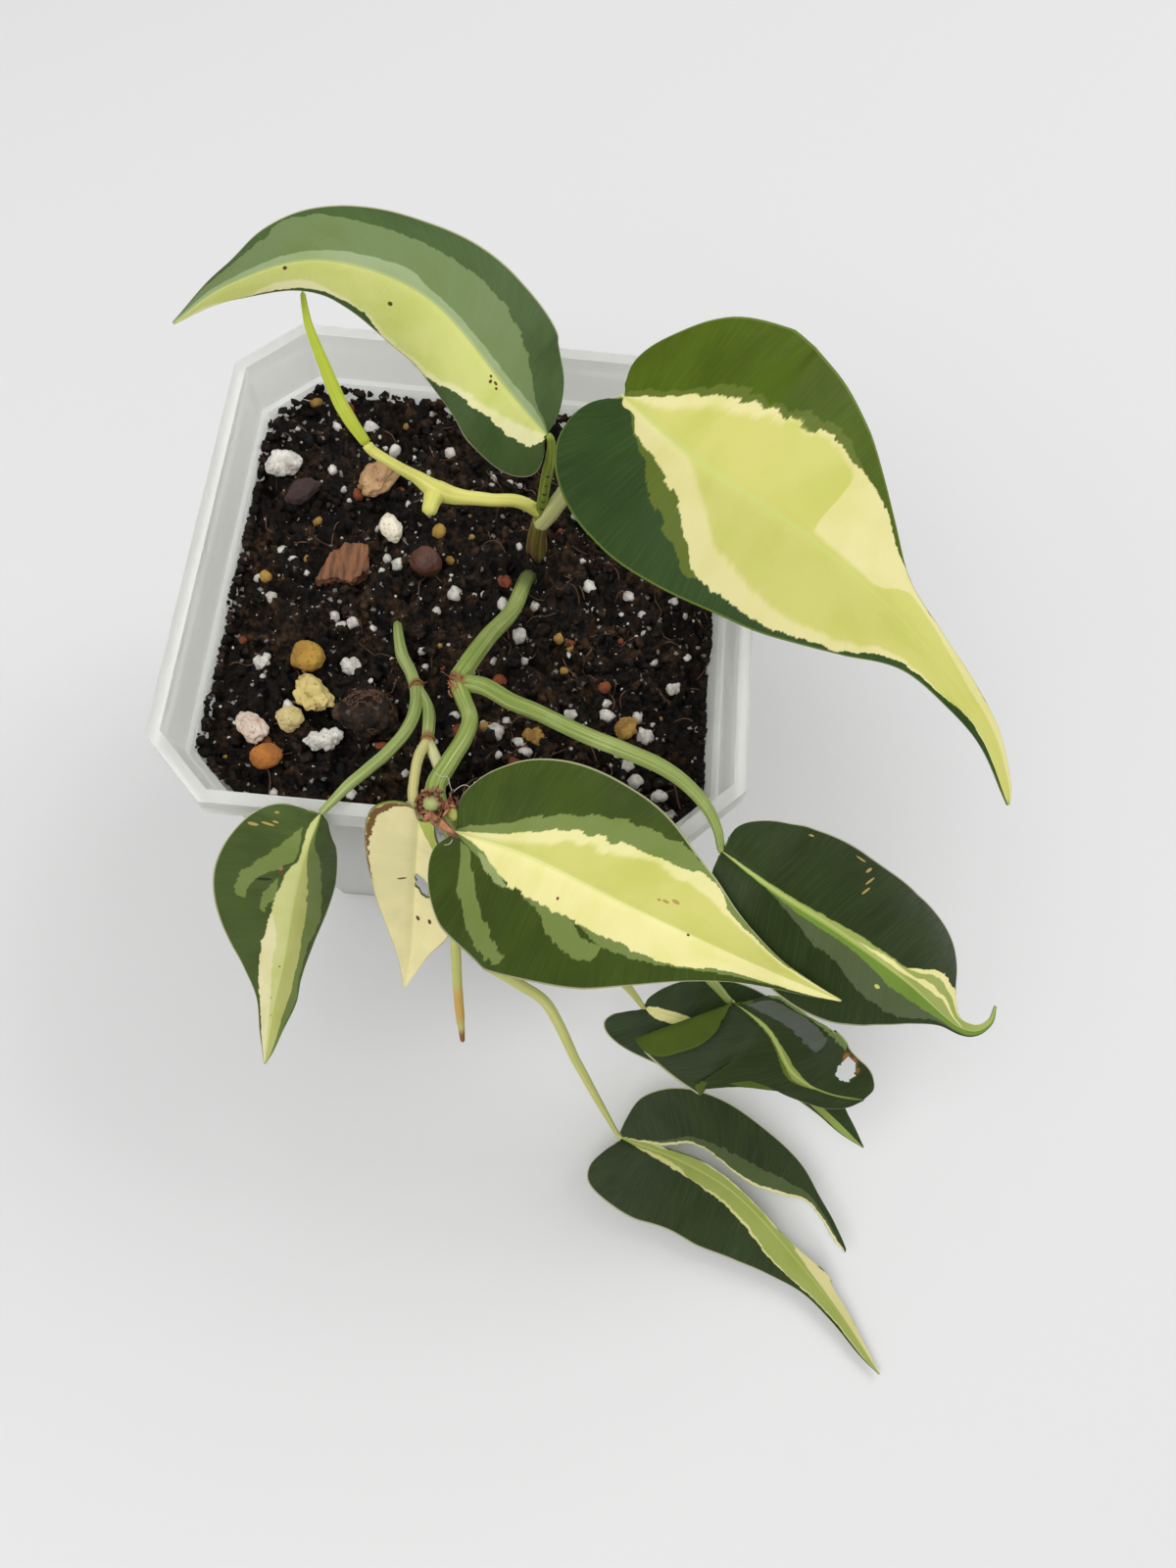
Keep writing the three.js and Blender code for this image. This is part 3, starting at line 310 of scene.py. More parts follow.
# stones: place, radii, turn about the vertical, height above the mix
STONES = {
    "clay_ball": {"at": [-10.3, 6.8], "radii": [3, 2.9, 2.8], "turn": 0, "lift": 0.8},
    "tan_pumice": {"at": [-21.7, 23.7], "radii": [4.6, 2.8, 2.4], "turn": 60, "lift": 1},
    "white_perlite": {"at": [-17.8, 13.2], "radii": [2.9, 2.1, 2], "turn": 115, "lift": 1.2},
    "perlite_back_left": {"at": [-40, 24.7], "radii": [4.2, 3, 2], "turn": 20, "lift": 0.4},
    "dark_bark": {"at": [-35.5, 18.7], "radii": [3.6, 2.2, 2], "turn": 50, "lift": 0.8},
    "mustard_stone": {"at": [-28.7, -16], "radii": [3, 2.8, 2.4], "turn": 0, "lift": 1},
    "pale_stone": {"at": [-27, -23.2], "radii": [4, 2.6, 2.2], "turn": 140, "lift": 1},
    "beige_stone": {"at": [-29.8, -28.4], "radii": [2.4, 2.2, 2], "turn": 0, "lift": 0.9},
    "pink_pumice": {"at": [-36.2, -30.4], "radii": [3, 2.4, 2.1], "turn": 120, "lift": 0.9},
    "orange_stone": {"at": [-32.6, -36], "radii": [2.8, 2.3, 2.1], "turn": 15, "lift": 0.6},
    "long_perlite": {"at": [-23.3, -31.6], "radii": [3.8, 1.9, 1.8], "turn": 20, "lift": 0.8},
    "coir_lump": {"at": [-16.6, -25.7], "radii": [4.6, 4.2, 2.6], "turn": 0, "lift": 0.6},
}


# curves that run through points
class Path:
    """A centripetal curve through points, followed by share of its length."""

    def __init__(self, points, steps=40):
        given = np.array(points, float)
        ends = [2 * given[0] - given[1]], [2 * given[-1] - given[-2]]
        knots = np.vstack([ends[0], given, ends[1]])
        rows = []
        for a, b, c, d in zip(knots, knots[1:], knots[2:], knots[3:]):
            gaps = [max(np.linalg.norm(q - p) ** 0.5, 1e-4) for p, q in ((a, b), (b, c), (c, d))]
            leave = ((b - a) / gaps[0] - (c - a) / (gaps[0] + gaps[1]) + (c - b) / gaps[1]) * gaps[1]
            reach = ((c - b) / gaps[1] - (d - b) / (gaps[1] + gaps[2]) + (d - c) / gaps[2]) * gaps[1]
            w = np.linspace(0, 1, steps, endpoint=False)[:, None]
            cubic = (2 * w**3 - 3 * w**2 + 1) * b + (w**3 - 2 * w**2 + w) * leave
            rows.append(cubic + (3 * w**2 - 2 * w**3) * c + (w**3 - w**2) * reach)
        rows.append(given[-1][None])
        self.line = np.vstack(rows)
        self.run = np.concatenate([[0], np.cumsum(np.linalg.norm(np.diff(self.line, axis=0), axis=1))])
        self.length = self.run[-1]

    def at(self, share):
        place = np.clip(share, 0, 1) * self.length
        return np.stack([np.interp(place, self.run, column) for column in self.line.T], -1)

    def along(self, share):
        ahead = self.at(np.clip(share + 0.004, 0, 1))
        behind = self.at(np.clip(share - 0.004, 0, 1))
        return unit(ahead - behind)


def unit(vectors):
    return vectors / np.linalg.norm(vectors, axis=-1, keepdims=True)


def between(pair, share):
    return pair[0] + (pair[1] - pair[0]) * share


# materials
def tone(red, green, blue):
    """A colour given as it looks on a screen, 0 to 255, as the linear values that a shader takes."""
    shares = [channel / 255 for channel in (red, green, blue)]
    return [c / 12.92 if c <= 0.04045 else ((c + 0.055) / 1.055) ** 2.4 for c in shares] + [1]


class Paint:
    """A procedural material whose nodes are added one by one."""

    def __init__(self, name, roughness=0.6, **settings):
        self.material = bpy.data.materials.new(name)
        self.material.use_nodes = True
        self.nodes = self.material.node_tree.nodes
        self.shader = self.nodes["Principled BSDF"]
        self.shader.inputs["Roughness"].default_value = roughness
        for socket, value in settings.items():
            self.shader.inputs[socket.replace("_", " ")].default_value = value
        self.place = self.nodes.new("ShaderNodeTexCoord").outputs["Object"]

    def put(self, socket, value):
        if isinstance(value, bpy.types.NodeSocket):
            self.material.node_tree.links.new(value, socket)
        else:
            socket.default_value = value

    def node(self, kind, inputs, out=0, **settings):
        made = self.nodes.new(kind)
        for setting, value in settings.items():
            setattr(made, setting, value)
        for socket, value in inputs.items():
            self.put(made.inputs[socket], value)
        return made.outputs[out]

    def math(self, operation, a, b=0, c=0):
        return self.node("ShaderNodeMath", {0: a, 1: b, 2: c}, operation=operation)

    def fit(self, value, low, high, start=0, end=1):
        inputs = {0: value, 1: low, 2: high, 3: start, 4: end}
        return self.node("ShaderNodeMapRange", inputs, interpolation_type="SMOOTHSTEP")

    def mix(self, share, *colors):
        """Two colours mixed, each a socket, linear values or a screen colour of three numbers."""
        a, b = [tone(*color) if isinstance(color, tuple) else color for color in colors]
        return self.node("ShaderNodeMix", {0: share, 6: a, 7: b}, out=2, data_type="RGBA")

    def vector(self, x, y):
        return self.node("ShaderNodeCombineXYZ", {0: x, 1: y})

    def split(self, vector):
        made = self.nodes.new("ShaderNodeSeparateXYZ")
        self.put(made.inputs[0], vector)
        return made.outputs

    def curve(self, value, hundredths):
        """A smooth curve through points given in hundredths."""
        made = self.nodes.new("ShaderNodeFloatCurve")
        self.put(made.inputs["Value"], value)
        line = made.mapping.curves[0]
        points = [(s / 100, t / 100) for s, t in hundredths]
        line.points[0].location = points[0]
        line.points[1].location = points[-1]
        for s, t in points[1:-1]:
            line.points.new(s, t)
        for point in line.points:
            point.handle_type = "AUTO_CLAMPED"
        made.mapping.update()
        return made.outputs[0]

    def grain(self, scale, detail, where=None, roughness=0.55):
        inputs = {"Vector": where or self.place, "Scale": scale, "Detail": detail, "Roughness": roughness}
        return self.node("ShaderNodeTexNoise", inputs)

    def near(self, point, radius):
        """1 close to a point given in millimetres, 0 well beyond the radius."""
        ends = {0: self.place, 1: [METRES * c for c in point]}
        away = self.node("ShaderNodeVectorMath", ends, 1, operation="DISTANCE")
        return self.fit(away, METRES * radius * 1.5, METRES * radius * 0.5)

    def color(self, value):
        self.put(self.shader.inputs["Base Color"], value)

    def rough(self, value):
        self.put(self.shader.inputs["Roughness"], value)

    def bump(self, height, distance, strength):
        inputs = {"Strength": strength, "Distance": METRES * distance, "Height": height}
        made = self.nodes.new("ShaderNodeBump")
        for socket, value in inputs.items():
            self.put(made.inputs[socket], value)
        self.material.node_tree.links.new(made.outputs[0], self.shader.inputs["Normal"])


# finished pieces
def finish_piece(name, bm, materials, replaces=None, smooth=True):
    bmesh.ops.transform(bm, matrix=Matrix.Scale(METRES, 4), verts=bm.verts)
    mesh = bpy.data.meshes.new(name)
    bm.to_mesh(mesh)
    bm.free()
    for paint in materials:
        mesh.materials.append(paint.material)
    mesh.polygons.foreach_set("use_smooth", [smooth] * len(mesh.polygons))
    piece = bpy.data.objects.new(name, mesh)
    bpy.context.scene.collection.objects.link(piece)
    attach(piece, "root")
    if replaces:
        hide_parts(replaces)
    return piece


def new_mesh():
    bm = bmesh.new()
    bm.loops.layers.uv.new("UVMap")
    return bm


def grid(bm, across, along, place, uv=lambda x, y: (y, x), index=0):
    """A grid whose corners go where place puts them. It is given x from -1 to 1 and y from 0 to 1."""
    made = bmesh.ops.create_grid(bm, x_segments=across, y_segments=along, size=1)["verts"]
    flat = np.array([vert.co for vert in made])
    x, y = flat[:, 0], (flat[:, 1] + 1) / 2
    layer = bm.loops.layers.uv.active
    for vert, spot_x, spot_y in zip(made, x, y):
        for loop in vert.link_loops:
            loop[layer].uv = uv(spot_x, spot_y)
            loop.face.material_index = index
    for vert, co in zip(made, place(x, y)):
        vert.co = co
    return made


def seal(bm, verts):
    bmesh.ops.remove_doubles(bm, verts=verts, dist=0.002)


def outward(bm):
    bmesh.ops.recalc_face_normals(bm, faces=bm.faces)


def wobble(points, scale):
    """Smooth noise, one value for each point."""
    return np.array([noise.noise(Vector(point) * scale) for point in points])


# stems
def tube(bm, points, radii, sides, step=0.7, ribs=0, depth=0.04, blunt=0.9, index=0):
    """A round stem through points, with its radius given at even steps along it."""
    path = Path(points)
    rows = max(8, round(path.length / step))
    shares = np.linspace(0, 1, rows + 1)
    along = path.along(shares)
    sideways = [unit(np.cross(along[0], [0.31, 0.47, 0.83]))]
    for direction in along[1:]:
        last = sideways[-1]
        sideways.append(unit(last - direction * np.dot(last, direction)))
    sideways = np.array(sideways)
    upright = np.cross(along, sideways)
    given = np.interp(shares, np.linspace(0, 1, len(radii)), radii)
    run = shares * path.length
    for rest in (run, path.length - run):
        dome = np.clip(rest / (blunt * given), 0, 1)
        given = given * np.sqrt(np.clip(1 - (1 - dome) ** 2, 0, 1))

    def place(x, y):
        row = np.round(y * rows).astype(int)
        angle = np.pi * x
        radius = given[row] * (1 + depth * np.cos(ribs * angle)) if ribs else given[row]
        radius = radius * (1 + 0.03 * np.sin(2 * angle + 9 * y) + 0.02 * np.sin(40 * y + angle))
        middle = path.at(y)
        return (
            middle
            + sideways[row] * (radius * np.cos(angle))[:, None]
            + upright[row] * (radius * np.sin(angle))[:, None]
        )

    made = grid(bm, sides, rows, place, lambda x, y: (0.01 * y * path.length, (x + 1) / 2), index)
    seal(bm, made)


# leaves
class Leaf:
    """A blade laid out flat, u along the midrib and v across it, and bent along the midrib in space."""

    def __init__(self, table):
        self.table = table
        self.rib = Path(table["rib"])
        self.faces = [np.array(face, float) for face in table["face"]]

    def rolled(self, u, v):
        lift = np.zeros_like(u)
        for roll in self.table.get("rolls", []):
            angle = math.radians(roll["outward"])
            out = math.cos(angle), math.sin(angle)
            beyond = (u - roll["u"]) * out[0] + (v - roll["v"]) * out[1]
            over = np.maximum(beyond, 0)
            turn = np.minimum(over / roll["radius"], math.radians(roll["turn"]))
            rest = over - turn * roll["radius"]
            back = roll["radius"] * np.sin(turn) + rest * np.cos(turn) - over
            u = u + out[0] * back
            v = v + out[1] * back
            lift = lift + roll["radius"] * (1 - np.cos(turn)) + rest * np.sin(turn)
        return u, v, lift

    def bend(self, flat_u, flat_v, extra=0):
        """Places in space of flat places on the blade, raised by extra."""
        u, v, lift = self.rolled(flat_u, flat_v)
        share = np.clip(u / self.rib.length, 0, 1)
        along = self.rib.along(share)
        middle = self.rib.at(share) + along * (u - share * self.rib.length)[:, None]
        up = between(self.faces, share[:, None])
        up = unit(up - along * np.sum(up * along, axis=1)[:, None])
        right = np.cross(along, up)
        halves = self.table["left"], self.table["right"]
        rise, curl = [
            np.radians(np.where(v < 0, *[between(half[key], share) for half in halves]))
            for key in ("rise", "curl")
        ]
        curl = np.where(np.abs(curl) < 1e-6, 1e-6, curl)
        width = np.abs(v)
        across = (np.sin(rise + curl * width) - np.sin(rise)) / curl
        above = (np.cos(rise) - np.cos(rise + curl * width)) / curl
        return middle + right * (np.sign(v) * across)[:, None] + up * (above + lift + extra)[:, None]

    def edge(self, outline, tip=None):
        return Path([*outline, tip or (self.rib.length, TIP_HALF)])

    def spread(self, edges, side, s, t):
        """Flat places of the shares s along the margin and t from the midrib to the edge."""
        rim = np.where(side[:, None] < 0, edges[0].at(s), edges[1].at(s))
        start = self.rib.length * s**1.5
        return start + (rim[:, 0] - start) * t**1.3, rim[:, 1] * t * np.sign(side)


# a slit worn through a blade, as places u, v on it and radii, and the faces along and across a blade's half
SLITS = {"leaf_9": [(16, -0.9, 0.9), (17.6, -1.6, 1.3), (19.4, -2.3, 1.1)]}
ROWS = 110
COLUMNS = 34


def relief(v, s, t, seed):
    """How the upper side of a blade is modelled: sunken midrib, faint veins and a gently waved margin."""
    groove = -0.3 * np.exp(-((v / 0.75) ** 2)) * np.clip(1.2 - s, 0, 1)
    veins = 0.05 * np.sin(2 * np.pi * (13 * s + 0.5 * np.sign(v))) * t * (1 - s)
    waves = np.array([noise.noise(Vector((9 * a, seed + b, 0.4 * c))) for a, b, c in zip(s, np.sign(v), t)])
    return groove + veins + 0.5 * waves * t**3 * np.clip(6 * s, 0, 1) * np.clip(4 * (1 - s), 0, 1)


def blade(name, table, paints, seed):
    """A whole blade as one grid from its left edge over the midrib to its right edge, and any torn flap."""
    leaf = Leaf(table)
    bm = new_mesh()
    left = table.get("strip", table["left"])
    edges = leaf.edge(left["outline"]), leaf.edge(table["right"]["outline"])

    def place(x, y):
        u, v = leaf.spread(edges, x, y, np.abs(x))
        return leaf.bend(u, v, relief(v, y, np.abs(x), seed))

    grid(bm, 2 * COLUMNS, ROWS, place, lambda x, y: (y, (x + 1) / 2))
    if "flap" in table:
        tip = table["flap"]
        outer = leaf.edge(table["left"]["outline"], tip)
        inner = leaf.edge(table["left"]["inner"], (tip[0], tip[1] - 2 * TIP_HALF))

        def flap(x, y):
            share = (1 - x)[:, None] / 2
            flat = inner.at(y) + (outer.at(y) - inner.at(y)) * share
            ragged = 0.25 * (1 - share[:, 0]) * wobble(np.stack([9 * y, y, y], -1), 9)
            return leaf.bend(flat[:, 0], ragged - flat[:, 1])

        grid(bm, COLUMNS, ROWS, flap, lambda x, y: (y, (1 + x) / 4), 2)
    for u, v, radius in [*table.get("holes", []), *SLITS.get(name, [])]:
        middle = Vector(leaf.bend(np.array([float(u)]), np.array([float(v)]))[0])
        ragged = [(vert, radius * (1 + 0.3 * noise.noise(vert.co))) for vert in bm.verts]
        gone = [vert for vert, reach in ragged if (vert.co - middle).length < reach]
        bmesh.ops.delete(bm, geom=gone, context="VERTS")
    piece = finish_piece(name, bm, paints, name)
    thick = piece.modifiers.new("blade thickness", "SOLIDIFY")
    thick.thickness = BLADE * METRES
    thick.offset = 0
    thick.material_offset = 1
    thick.material_offset_rim = 1
    return piece


# variegation, with a painted sheen on leaf_5 and painted light and shade on leaf_2
# Colours are as they look on a screen. s runs along the margin from petiole to tip, t from the midrib to
# the edge. Each patch is painted over the ones before it: its colour, its outer limit, and its inner limit
# where it doesn't reach the rib, as places s, t in hundredths. Specks are s, t (below 0 on the left), their
# sizes along both and their colour. Browned places are in millimetres, with their radii.
CHARTREUSE = (202, 200, 112)
CREAM = (236, 228, 160)
IVORY = (228, 220, 172)
SAGE = (116, 132, 70)
PALE_SAGE = (150, 162, 108)
OLIVE = (92, 106, 36)
DULL_STRIPE = (136, 152, 78)
SPRING_GREEN = (226, 230, 140)
SOFT_COLORS = (CHARTREUSE, SPRING_GREEN)
BROWN_SPECK = (104, 70, 36)
STRAW_SCAR = (172, 146, 84)
LOOKS = {
    "leaf_1": {
        "dark": (72, 94, 50),
        "specks": [
            (0.28, -0.06, 0.006, 0.02), (0.292, -0.1, 0.004, 0.03), (0.27, -0.1, 0.004, 0.02),
            (0.3, -0.05, 0.004, 0.02), (0.555, -0.39, 0.005, 0.04), (0.758, -0.1, 0.004, 0.08),
        ],
        "left": [
            ((250, 246, 188), [(0, 40), (17, 46), (23, 47), (29, 59), (33, 66), (38, 89), (43, 100),
                (50, 100), (57, 90), (61, 84), (70, 88), (80, 93), (86, 100)]),
            (SPRING_GREEN, [(0, 10), (6, 12), (16, 23), (23, 34), (32, 52), (41, 86), (49, 93), (57, 85),
                (68, 75), (74, 60), (81, 78), (85, 100), (90, 85)]),
        ],
        "right": [
            ((112, 130, 84), [(0, 16), (11, 16), (21, 37), (28, 53), (34, 61), (46, 67), (55, 72),
                (66, 89), (70, 95), (75, 81), (100, 90)]),
            ((150, 166, 124), [(0, 10), (12, 11), (33, 10), (50, 12), (55, 24), (63, 21), (70, 20),
                (100, 40)]),
        ],
    },
    "leaf_2": {
        # painted light and shade: one dark green as a lit copy on the left half and a shaded copy on the
        # right
        "dark": (72, 92, 4),
        "dark_right": (48, 72, 30),
        "margin": (128, 146, 64),
        "left": [
            (OLIVE, [(0, 20), (18, 31), (26, 47), (33, 54), (39, 58), (45, 72), (48, 78), (52, 81),
                (56, 30), (100, 0)]),
            ((222, 214, 152), [(0, 5), (6, 11), (16, 23), (23, 33), (28, 40), (36, 52), (43, 56), (47, 68),
                (51, 74), (55, 82), (60, 92), (64, 90), (68, 100), (100, 100)]),
            (CHARTREUSE, [(0, 6), (17, 13), (24, 25), (30, 35), (38, 48), (45, 60), (52, 71), (54, 40),
                (55, 8), (65, 12), (67, 21), (69, 63), (72, 86), (76, 80), (81, 64), (87, 49), (92, 59),
                (100, 80)]),
        ],
        "right": [
            (OLIVE, [(18, 20), (24, 28), (28, 41), (32, 48), (38, 70), (40, 80), (42, 77), (44, 69),
                (50, 50)]),
            ((222, 214, 152), [(0, 10), (6, 18), (11, 9), (18, 18), (24, 20), (32, 29), (38, 56), (44, 83),
                (48, 86), (58, 94), (65, 95), (70, 88), (80, 84), (87, 62), (100, 60)]),
            (CHARTREUSE, [(0, 1), (28, 1), (32, 7), (38, 27), (43, 51), (50, 67), (55, 76), (59, 82),
                (67, 82), (71, 75), (80, 80), (87, 60), (100, 50)]),
        ],
    },
    "leaf_3": {
        "dark": (38, 54, 16),
        "specks": [
            (0.619, 0.39, 0.008, 0.035, CHARTREUSE), (0.236, -0.88, 0.01, 0.02, STRAW_SCAR),
            (0.38, -0.89, 0.014, 0.015, STRAW_SCAR), (0.415, -0.82, 0.004, 0.05, STRAW_SCAR),
            (0.439, -0.7, 0.003, 0.08, STRAW_SCAR), (0.453, -0.56, 0.003, 0.07, STRAW_SCAR),
        ],
        "left": [
            (CREAM, [(69, 19), (71, 29), (74, 54), (79, 79), (82, 100), (100, 100)]),
            ((156, 168, 92), [(0, 2), (21, 4), (43, 6), (56, 10), (66, 12), (70, 18), (74, 40), (79, 62),
                (84, 85), (100, 100)]),
            (CREAM, [(55, 4), (61, 8), (71, 12), (73, 21), (78, 34), (84, 55), (90, 0)], [(55, 2), (66, 3),
                (73, 10), (78, 20), (84, 40), (90, 0)]),
        ],
        "right": [
            ((82, 94, 62), [(20, 0), (29, 8), (37, 18), (42, 27), (48, 30), (54, 44), (57, 55), (62, 67),
                (66, 79), (72, 87), (79, 79), (100, 90)]),
            ((112, 140, 54), [(0, 2), (29, 5), (38, 8), (52, 9), (59, 16), (66, 31), (72, 43), (79, 57),
                (100, 90)]),
        ],
    },
    "leaf_4": {
        "dark": (58, 76, 16),
        "specks": [
            (0.425, 0.21, 0.003, 0.015), (0.611, -0.29, 0.007, 0.025, STRAW_SCAR),
            (0.623, -0.37, 0.008, 0.03, STRAW_SCAR), (0.6, -0.26, 0.004, 0.02, STRAW_SCAR),
            (0.687, 0.03, 0.003, 0.03),
        ],
        "left": [
            (SAGE, [(0, 15), (16, 19), (21, 22), (29, 37), (36, 56), (41, 67), (50, 83), (54, 94),
                (60, 100), (100, 100)]),
            ((226, 220, 156), [(0, 4), (17, 9), (22, 11), (30, 22), (36, 37), (45, 48), (49, 55), (54, 66),
                (58, 81), (61, 92), (65, 95), (70, 87), (77, 89), (100, 90)]),
            (CHARTREUSE, [(0, 2), (18, 3), (23, 4), (30, 11), (35, 19), (38, 29), (46, 37), (50, 48),
                (54, 60), (60, 67), (65, 76), (78, 81), (91, 68), (100, 60)]),
        ],
        "right": [
            (SAGE, [(40, 30), (47, 34), (54, 52), (59, 61), (65, 69), (73, 74), (100, 90)]),
            (SAGE, [(8, 14), (13, 38), (17, 59), (21, 75), (25, 88), (35, 90), (37, 80)], [(8, 14),
                (12, 14), (16, 25), (20, 39), (24, 56), (31, 69), (37, 80)]),
            (PALE_SAGE, [(16, 11), (21, 24), (28, 30), (30, 27)], [(16, 11), (23, 16), (28, 24),
                (30, 27)]),
            (SAGE, [(33, 26), (40, 37), (44, 54), (48, 64), (52, 69), (54, 50)], [(33, 26), (47, 34),
                (50, 45), (54, 50)]),
            (CREAM, [(0, 4), (9, 6), (16, 9), (27, 23), (38, 29), (47, 34), (56, 43), (60, 52), (65, 63),
                (70, 69), (76, 62), (86, 75), (100, 90)]),
        ],
    },
    "leaf_5": {
        "dark": (42, 56, 24),
        "browned": [((80.6, -71, 33), 1.1), ((79.2, -70.2, 34), 0.9), ((81.6, -72, 31.5), 0.7)],
        "left": [
            # painted sheen: this grey patch stands for the gloss reflected on this half
            ((86, 91, 84), [(14, 40), (20, 76), (36, 80), (50, 74), (56, 50)], [(14, 20), (24, 20),
                (40, 36), (56, 50)]),
            ((108, 128, 66), [(8, 100), (50, 100), (62, 100), (70, 90)], [(8, 96), (18, 84), (40, 88),
                (62, 86), (70, 90)]),
            (DULL_STRIPE, [(0, 5), (25, 5), (40, 4), (55, 8), (70, 5), (76, 0)]),
        ],
        "right": [
            (OLIVE, [(0, 3), (50, 5), (70, 12), (80, 6), (100, 20)]),
            (DULL_STRIPE, [(15, 0), (30, 3), (55, 3), (68, 9), (74, 10), (78, 0)]),
        ],
    },
    "leaf_6": {
        "dark": (44, 60, 30),
        "left": [
            (CREAM, [(0, 24), (16, 12), (23, 10), (29, 7), (36, 0)]),
        ],
        "right": [
            (CREAM, [(0, 20), (16, 18), (27, 13), (36, 0)]),
            (DULL_STRIPE, [(68, 0), (76, 40), (84, 80), (100, 95)]),
        ],
    },
    "leaf_7": {
        "dark": (42, 56, 26),
        "left": [
            ((204, 196, 140), [(0, 100), (100, 100)]),
            ((148, 158, 82), [(0, 70), (30, 86), (60, 80), (72, 30), (100, 20)]),
        ],
        "right": [
            ((204, 200, 136), [(36, 18), (40, 20), (46, 23), (49, 24), (54, 30), (60, 42), (65, 58),
                (72, 76), (76, 84), (84, 80), (100, 80)]),
            ((148, 158, 82), [(0, 5), (19, 6), (27, 7), (33, 11), (37, 18), (49, 20), (54, 25), (60, 36),
                (65, 52), (69, 64), (76, 78), (84, 73), (100, 69)]),
        ],
    },
    "leaf_8": {
        "dark": (70, 88, 38),
        "specks": [
            (0.184, 0.84, 0.005, 0.09, STRAW_SCAR), (0.17, 0.67, 0.004, 0.1, STRAW_SCAR),
            (0.155, 0.6, 0.004, 0.05, STRAW_SCAR), (0.12, 0.75, 0.006, 0.04, STRAW_SCAR),
            (0.327, 0.23, 0.01, 0.03, (150, 116, 84)), (0.345, 0.21, 0.006, 0.03),
            (0.375, 0.39, 0.006, 0.09, (40, 46, 24)), (0.7, 0.1, 0.003, 0.03), (0.8, 0.3, 0.003, 0.03),
            (0.86, 0.1, 0.003, 0.04),
        ],
        "left": [
            (SAGE, [(0, 10), (16, 12), (26, 40), (39, 66), (46, 83), (51, 90), (58, 84), (70, 90),
                (100, 100)]),
            ((196, 198, 118), [(10, 0), (21, 2), (38, 23), (49, 42), (59, 55), (68, 63), (84, 61),
                (91, 69), (100, 80)]),
        ],
        "right": [
            (SAGE, [(13, 19), (19, 27), (26, 41), (32, 56), (38, 71), (42, 72), (44, 60)], [(13, 18),
                (26, 8), (32, 21), (35, 35), (39, 52), (44, 60)]),
            (SAGE, [(36, 22), (40, 31), (45, 42), (47, 44), (50, 36)], [(36, 22), (44, 21), (47, 33),
                (50, 36)]),
            (IVORY, [(46, 20), (49, 27), (56, 38), (60, 49), (66, 61), (71, 73), (77, 85), (88, 87),
                (100, 90)]),
            ((206, 208, 140), [(0, 10), (10, 12), (19, 8), (27, 6), (33, 14), (41, 20), (49, 27), (53, 24),
                (61, 22), (67, 30), (73, 35), (84, 29), (100, 27)]),
        ],
    },
    "leaf_9": {
        "dark": (240, 230, 172),
        "depth": 0.93,
        "margin": (150, 122, 74),
        "specks": [(0.677, -0.17, 0.012, 0.06), (0.653, -0.48, 0.012, 0.05), (0.47, 0.3, 0.005, 0.12)],
        "left": [
            ((176, 186, 92), [(0, 100), (30, 100), (36, 90)], [(0, 0), (6, 10), (12, 30), (20, 55),
                (28, 75), (36, 92)]),
        ],
        "right": [
            ((122, 84, 44), [(0, 100), (30, 100), (50, 95), (56, 90)], [(0, 95), (8, 90), (14, 83),
                (20, 86), (30, 93), (45, 95), (56, 97)]),
        ],
    },
}


